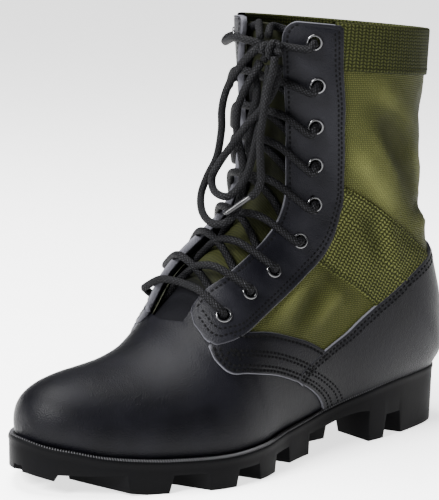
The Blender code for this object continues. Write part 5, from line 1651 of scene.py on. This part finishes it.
def make_knot(look):
    """The knot: a cord wound round two short straight cords that lie through it."""
    middle = np.array(KNOT)
    along, out, up = np.array([0.94, 0.2, 0.28]), np.array([0.0, -1.0, 0.0]), np.array([-0.2, 0.0, 0.98])
    cords = [[]]
    for angle, far, step in KNOT_TURNS:
        turn = math.radians(angle)
        cords[0].append(middle + along * step + (out * math.cos(turn) + up * math.sin(turn)) * far)
    for cord in KNOT_THROUGH:
        cords.append([middle + along * step + up * rise + out * depth for step, rise, depth in cord])
    routes = [smooth_route(np.array(points), 1.2) for points in cords]
    settle(tube("knot_turns", routes, look.lace / 2, finish("braid")), "black_cord", "bow_knot")


def groove_walls(y):
    """Plan line of a groove's wall: from each edge it runs inwards and forwards, to a point at the middle."""
    lean = math.tan(GROOVE_ANGLE)
    return [
        (FOOT_CENTRE_X + side * SIDE_REACH, y + (abs(side) * SIDE_REACH - GROOVE_EDGE) * lean)
        for side in (-1, 0, 1)
    ]


def prism_faces(base, count):
    """Faces of a closed prism whose two rings of points follow each other."""
    faces = [[base + k for k in range(count)], [base + 2 * count - 1 - k for k in range(count)]]
    for k in range(count):
        after = (k + 1) % count
        faces.append([base + k, base + k + count, base + after + count, base + after])
    return faces


def cutter(name, points, faces):
    """A plain body that shapes the sole and isn't shown itself."""
    obj = new_mesh(name, points, faces, [], smooth=False)
    weld(obj, 0.0001)
    obj.hide_render = True
    obj.display_type = "WIRE"
    return obj


def cut(obj, tool, operation):
    modifier = obj.modifiers.new(tool.name, "BOOLEAN")
    modifier.operation, modifier.solver, modifier.object = operation, "EXACT", tool


def groove_cutter():
    """All the grooves across the tread, each wider at the floor than at its root."""
    points, faces = [], []
    for _, front, rear in GROOVES + (HEEL_GROOVE,):
        root = float(sole_base((front + rear) / 2))
        growth = (root - BELOW_FLOOR) * LUG_DRAFT
        front_wall, rear_wall = groove_walls(front), groove_walls(rear)[::-1]
        faces += prism_faces(len(points), 6)
        points += [(x, y, root) for x, y in front_wall + rear_wall]
        points += [(x, y - growth, BELOW_FLOOR) for x, y in front_wall]
        points += [(x, y + growth, BELOW_FLOOR) for x, y in rear_wall]
    return cutter("groove_cutter", points, faces)


def channel_cutter():
    """The channel down the middle that parts the lateral lugs from the medial ones."""
    lean = GROOVE_EDGE * math.tan(GROOVE_ANGLE)
    points, faces = [], []
    for number, (before, after) in enumerate(zip(GROOVES[:-1], GROOVES[1:])):
        centre = FOOT_CENTRE_X + (3.0 if number % 2 else -3.0)
        low, high = before[2] - lean - 3.0, after[1] - lean + 3.0
        root = float(sole_base((low + high) / 2)) - CHANNEL_STEP
        half = CENTRE_CHANNEL_WIDTH / 2
        ring = [(centre - half, low), (centre + half, low), (centre + half, high), (centre - half, high)]
        faces += prism_faces(len(points), 4)
        points += [(x, y, root) for x, y in ring] + [(x, y, BELOW_FLOOR) for x, y in ring]
    return cutter("channel_cutter", points, faces)


def arch_cutter():
    """The opening across the sole under the arch."""
    _, front, rear = ARCH_CUT
    ring = [(y, BELOW_FLOOR) for y in (rear, front)]
    ring += [(y, float(sole_base(y))) for y in np.linspace(front, rear, 16)]
    points = [(side * SIDE_REACH, y, z) for side in (LATERAL, MEDIAL) for y, z in ring]
    return cutter("arch_cutter", points, prism_faces(0, len(ring)))


def shank_bar():
    """The bar under the arch, set in from the sole's edge."""
    _, left, right, front, rear = SHANK_LUG
    top = float(sole_base(rear)) + 2.0
    points = [(x, y, top) for x, y in ((left, front), (right, front), (right, rear), (left, rear))]
    left, right, front, rear = left + 2.0, right - 2.0, front + 2.0, rear - 2.0
    points += [(x, y, 0.0) for x, y in ((left, front), (right, front), (right, rear), (left, rear))]
    return cutter("shank_bar", points, prism_faces(0, 4))


# Side wall of the sole: inset from the outline, drop from the bed; the last row is the lug's foot
WALL_ROWS = ((1.5, 0.0), (0.7, 0.1), (0.2, 0.5), (0.0, 1.3), (0.0, 2.6), (0.35, 3.4), (0.45, 6.0))


def make_sole():
    """Sole: a smooth side wall with a moulded edge, its grooves and arch cut out, its corners eased."""
    edge = ring_edge(300)
    count, bed = len(edge), sole_bed(edge[:, 1])
    rings = [
        np.column_stack([inset_curve(edge, np.full(count, inset)), bed - drop]) for inset, drop in WALL_ROWS
    ]
    rings.append(np.column_stack([inset_curve(edge, np.full(count, 0.7)), lug_bottom(edge[:, 1])]))
    faces = ring_faces(len(rings), count)
    # Both ends are closed across the sole, by pairs of triangles from the heel to the toe
    for base in (0, (len(rings) - 1) * count):
        for k in range(count // 2):
            near, far = base + k, base + (count - k) % count
            after, beyond = base + k + 1, base + count - k - 1
            if k > 0:
                faces.append([near, after, far])
            if k < count // 2 - 1:
                faces.append([after, beyond, far])
    sole = new_mesh("sole_rubber", np.vstack(rings), faces, [finish("rubber")], smooth=False)
    weld(sole, 0.0001)
    for tool, operation in ((groove_cutter(), "DIFFERENCE"), (channel_cutter(), "DIFFERENCE"),
                            (arch_cutter(), "DIFFERENCE"), (shank_bar(), "UNION")):
        cut(sole, tool, operation)
    bevel = sole.modifiers.new("eased", "BEVEL")
    bevel.width, bevel.segments, bevel.limit_method = 0.7 * MM, 2, "ANGLE"
    bevel.angle_limit = math.radians(38.0)
    settle(sole, "black_rubber", "outsole")


def make_ledge():
    """Fine teeth along the sole's ledge, pressed into the rubber all round the upper."""
    edge = ring_edge(1400)
    teeth = np.where(np.arange(len(edge)) % 3 == 0, 0.75, 0.05)
    rings = []
    for inset, drop, rise in ((0.35, 0.5, 0.0), (0.65, 0.05, 1.0), (2.7, 0.05, 1.0), (3.2, 0.05, 0.0)):
        ring = inset_curve(edge, np.full(len(edge), inset))
        rings.append(np.column_stack([ring, sole_bed(ring[:, 1]) + teeth * rise - drop]))
    # The rim mark picks the tooth tops, which get a painted highlight
    ledge = new_mesh("ledge_teeth", np.vstack(rings), ring_faces(len(rings), len(edge)), [finish("teeth")],
                     smooth=False, marks={"rim": np.tile((teeth > 0.3).astype(float), len(rings))})
    settle(ledge, "black_rubber")


def make_insole():
    """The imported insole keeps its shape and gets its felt."""
    node = bpy.data.objects["insole"]
    node.data.materials.clear()
    node.data.materials.append(finish("felt"))


# Camera: its place and the directions of its view, its right and its up, fitted to the photo
CAMERA_PLACE = (814.3, -705.2, 323.1)
CAMERA_VIEW = (-0.7517, 0.6325, -0.187)
CAMERA_RIGHT = (0.6395, 0.7683, 0.0284)
CAMERA_LENS = 137.12


def make_stage(look):
    """Camera, floor and soft lights."""
    view = np.array(CAMERA_VIEW) / np.linalg.norm(CAMERA_VIEW)
    right = np.array(CAMERA_RIGHT) - view * (view @ np.array(CAMERA_RIGHT))
    right /= np.linalg.norm(right)
    up = np.cross(right, view)
    data = bpy.data.cameras.new("camera")
    data.lens, data.sensor_width, data.clip_start, data.clip_end = CAMERA_LENS, 36.0, 0.05, 20.0
    camera = bpy.data.objects.new("camera", data)
    bpy.context.scene.collection.objects.link(camera)
    turn = np.column_stack([right, up, -view])
    camera.matrix_world = Matrix.Translation(Vector(CAMERA_PLACE) * MM) @ Matrix(turn.tolist()).to_4x4()
    bpy.context.scene.camera = camera
    floor = new_mesh("floor", [(-9000, -9000, 0), (9000, -9000, 0), (9000, 9000, 0), (-9000, 9000, 0)],
                     [[0, 1, 2, 3]], [], smooth=False)
    pale = Finish("pale_floor")
    speck = pale.cloud(40.0)
    floor.data.materials.append(pale.set(
        Base_Color=pale.mix(speck, (0.86, 0.86, 0.86), (0.9, 0.9, 0.9)), Roughness=0.85 + 0.05 * speck,
        Specular_IOR_Level=0.1, Emission_Color=(1.0, 1.0, 1.0), Emission_Strength=look.floor_glow,
    ))
    for name, place, size, power in LIGHTS:
        lamp = bpy.data.lights.new(name, "AREA")
        lamp.shape, lamp.size, lamp.size_y, lamp.energy = "RECTANGLE", size[0], size[1], power * look.light
        obj = bpy.data.objects.new(name, lamp)
        bpy.context.scene.collection.objects.link(obj)
        obj.location = place
        obj.rotation_euler = (Vector((0, 0, 0.1)) - Vector(place)).to_track_quat("-Z", "Y").to_euler()
    world = bpy.data.worlds.new("pale_room")
    bpy.context.scene.world = world
    world.use_nodes = True
    world.node_tree.nodes["Background"].inputs["Color"].default_value = (1.0, 1.0, 1.0, 1.0)
    world.node_tree.nodes["Background"].inputs["Strength"].default_value = look.room


# Soft boxes: name, place in metres, size in metres, power in watts
LIGHTS = (
    ("top_box", (-0.3, -0.2, 1.4), (0.8, 0.8), 22.0),
    ("key_box", (0.1, -1.4, 1.1), (0.6, 0.6), 44.0),
    ("side_box", (1.6, 0.2, 0.5), (0.5, 1.0), 0.3),
)


def number(name, value, description, unit="NONE", **limits):
    """A settings number, with its name and note."""
    return bpy.props.FloatProperty(name=name, default=value, description=description, unit=unit, **limits)


def colour(name, value, description):
    """A settings colour, with its name and note."""
    return bpy.props.FloatVectorProperty(
        name=name, default=value, description=description, subtype="COLOR", min=0, max=1
    )


class BootLook(bpy.types.PropertyGroup):
    """Sizes in millimetres and colours of the boot."""

    leather: number("Leather", 1.6, "Thickness of the leather pieces in millimetres")
    webbing: number("Webbing", 1.3, "Thickness of the webbing in millimetres")
    seam_inset: number("Seam inset", 3.0, "Distance of a seam from its edge in millimetres")
    corner_radius: number("Facing corner", 9.0, "Radius of the facing's top corner in millimetres")
    lace: number("Lace", 4.5, "Thickness of the lace in millimetres")
    grain_size: number("Leather grain", 0.7, "Size of the leather's pores in millimetres")
    thread_pitch: number("Nylon thread", 1.15, "Width of one thread of the nylon in millimetres")
    rib_pitch: number("Webbing rib", 2.3, "Width of one column of the webbing in millimetres")
    yarn_pitch: number("Webbing yarn", 1.9, "Width of one slanting yarn in millimetres")
    braid_pitch: number("Braid", 2.3, "Length of one crossing of the braid in millimetres")
    leather_roughness: number("Leather roughness", 0.44, "Roughness of the smooth leather")
    leather_dark: colour("Leather, dark", (0.0011, 0.0011, 0.0017), "Darker leather")
    leather_light: colour("Leather, light", (0.0023, 0.0023, 0.0034), "Paler leather")
    stay_light: colour("Facing leather, light", (0.0056, 0.0056, 0.0072), "Paler leather of the facings")
    raw_edge: colour("Raw edge", (0.07, 0.07, 0.08), "Cut edge of the leather")
    nylon_dark: colour("Nylon, dark", (0.005, 0.0057, 0.0012), "Nylon between the threads")
    painted_shade_and_thread_olive: colour("Nylon, shade", (0.0088, 0.0094, 0.0024), "Nylon in the hollows of its folds")
    # Painted shade of the nylon in the hollows of its folds; also the paler twist of the olive thread
    nylon_light: colour("Nylon, light", (0.046, 0.05, 0.0125), "Nylon threads")
    # Painted highlight of the nylon's upper threads and fold ridges
    nylon_painted_shine: colour("Nylon, shine", (0.06, 0.063, 0.02), "Nylon threads where they catch the light")
    webbing_dark: colour("Webbing, dark", (0.004, 0.005, 0.0009), "Webbing between the yarns")
    webbing_light: colour("Webbing, light", (0.066, 0.071, 0.021), "Webbing yarns")
    rubber_dark: colour("Rubber, dark", (0.0004, 0.0004, 0.0005), "Darker rubber")
    rubber_light: colour("Rubber, light", (0.001, 0.001, 0.0013), "Paler rubber")
    # Painted highlight on the tops of the ledge's teeth
    rubber_painted_highlight: colour("Rubber, rubbed", (0.07, 0.07, 0.074), "Rubbed tops of the ledge's teeth")
    enamel: colour("Enamel", (0.004, 0.004, 0.005), "Enamel of the eyelets")
    enamel_worn: colour("Enamel, worn", (0.06, 0.06, 0.064), "Worn crown of the eyelets")
    lace_dark: colour("Lace, dark", (0.0004, 0.0004, 0.0005), "Lace between the strands")
    lace_light: colour("Lace, light", (0.009, 0.009, 0.011), "Lace strands")
    lace_fleck: colour("Lace, flecks", (0.06, 0.06, 0.065), "Pale flecks of the lace")
    tip_dark: colour("Lace tip, dark", (0.001, 0.001, 0.0012), "Darker plastic of the lace tip")
    tip_light: colour("Lace tip, light", (0.005, 0.005, 0.006), "Paler plastic of the lace tip")
    thread_dark: colour("Thread, dark", (0.0006, 0.0006, 0.0007), "Hollows of the black thread's twist")
    thread_light: colour("Thread, light", (0.002, 0.002, 0.0022), "Crowns of the black thread's twist")
    lining_dark: colour("Lining, dark", (0.012, 0.014, 0.008), "Lining cloth between its threads")
    lining_light: colour("Lining, light", (0.036, 0.04, 0.02), "Threads of the lining cloth")
    felt_dark: colour("Felt, dark", (0.02, 0.02, 0.02), "Darker fibres of the felt")
    felt_light: colour("Felt, light", (0.06, 0.058, 0.055), "Paler fibres of the felt")
    light: number("Lights", 3.0, "Strength of all the lamps")
    floor_glow: number("Floor glow", 1.9, "Light that the pale floor gives by itself")
    room: number("Room light", 0.28, "Strength of the pale surroundings")


def look_of(context):
    return context.scene.boot_look


class BOOT_OT_upper(bpy.types.Operator):
    """Makes the vamp, the shaft and the lining"""

    bl_idname = "boot.upper"
    bl_label = "Upper skins"

    def execute(self, context):
        make_upper()
        return {"FINISHED"}


class BOOT_OT_facings(bpy.types.Operator):
    """Makes both facings with their holes and seams"""

    bl_idname = "boot.facings"
    bl_label = "Facings"

    def execute(self, context):
        for side in (LATERAL, MEDIAL):
            make_facing(side, look_of(context))
        return {"FINISHED"}


class BOOT_OT_panels(bpy.types.Operator):
    """Makes the side panels and the heel counter with their seams"""

    bl_idname = "boot.panels"
    bl_label = "Side panels and counter"

    def execute(self, context):
        for side in (LATERAL, MEDIAL):
            make_panel(side, look_of(context))
        make_counter(look_of(context))
        return {"FINISHED"}


class BOOT_OT_webbing(bpy.types.Operator):
    """Makes the ankle bands and the collar"""

    bl_idname = "boot.webbing"
    bl_label = "Webbing"

    def execute(self, context):
        for side in (LATERAL, MEDIAL):
            make_band(side, look_of(context))
        make_collar(look_of(context))
        return {"FINISHED"}


class BOOT_OT_tongue(bpy.types.Operator):
    """Makes the tongue"""

    bl_idname = "boot.tongue"
    bl_label = "Tongue"

    def execute(self, context):
        make_tongue()
        return {"FINISHED"}


class BOOT_OT_eyelets(bpy.types.Operator):
    """Makes the eighteen rolled eyelets"""

    bl_idname = "boot.eyelets"
    bl_label = "Eyelets"

    def execute(self, context):
        make_eyelets(look_of(context))
        return {"FINISHED"}


class BOOT_OT_laces(bpy.types.Operator):
    """Makes the lacing, the knot, the loops and the ends"""

    bl_idname = "boot.laces"
    bl_label = "Laces and bow"

    def execute(self, context):
        make_laces(look_of(context))
        make_knot(look_of(context))
        make_bow(look_of(context))
        return {"FINISHED"}


class BOOT_OT_sole(bpy.types.Operator):
    """Makes the sole, its toothed ledge and the insole's felt"""

    bl_idname = "boot.sole"
    bl_label = "Sole and insole"

    def execute(self, context):
        make_sole()
        make_ledge()
        make_insole()
        return {"FINISHED"}


class BOOT_OT_stage(bpy.types.Operator):
    """Makes the camera, the floor and the lights"""

    bl_idname = "boot.stage"
    bl_label = "Stage"

    def execute(self, context):
        make_stage(look_of(context))
        return {"FINISHED"}


OPERATORS = (
    BOOT_OT_stage, BOOT_OT_upper, BOOT_OT_facings, BOOT_OT_panels, BOOT_OT_webbing, BOOT_OT_tongue,
    BOOT_OT_eyelets, BOOT_OT_laces, BOOT_OT_sole,
)


class BOOT_PT_pieces(bpy.types.Panel):
    """Lists the boot's pieces in the sidebar"""

    bl_label = "Jungle boot"
    bl_idname = "BOOT_PT_pieces"
    bl_space_type = "VIEW_3D"
    bl_region_type = "UI"
    bl_category = "Jungle boot"

    def draw(self, context):
        for made in OPERATORS:
            self.layout.operator(made.bl_idname)
        for word in BootLook.__annotations__:
            self.layout.prop(context.scene.boot_look, word)


CLASSES = (BootLook, *OPERATORS, BOOT_PT_pieces)


def register():
    for made in CLASSES:
        bpy.utils.register_class(made)
    bpy.types.Scene.boot_look = bpy.props.PointerProperty(type=BootLook)


def unregister():
    del bpy.types.Scene.boot_look
    for made in reversed(CLASSES):
        bpy.utils.unregister_class(made)


def main():
    register()
    for word in ("stage", "upper", "facings", "panels", "webbing", "tongue", "eyelets", "laces", "sole"):
        getattr(bpy.ops.boot, word)()


if __name__ == "__main__":
    main()
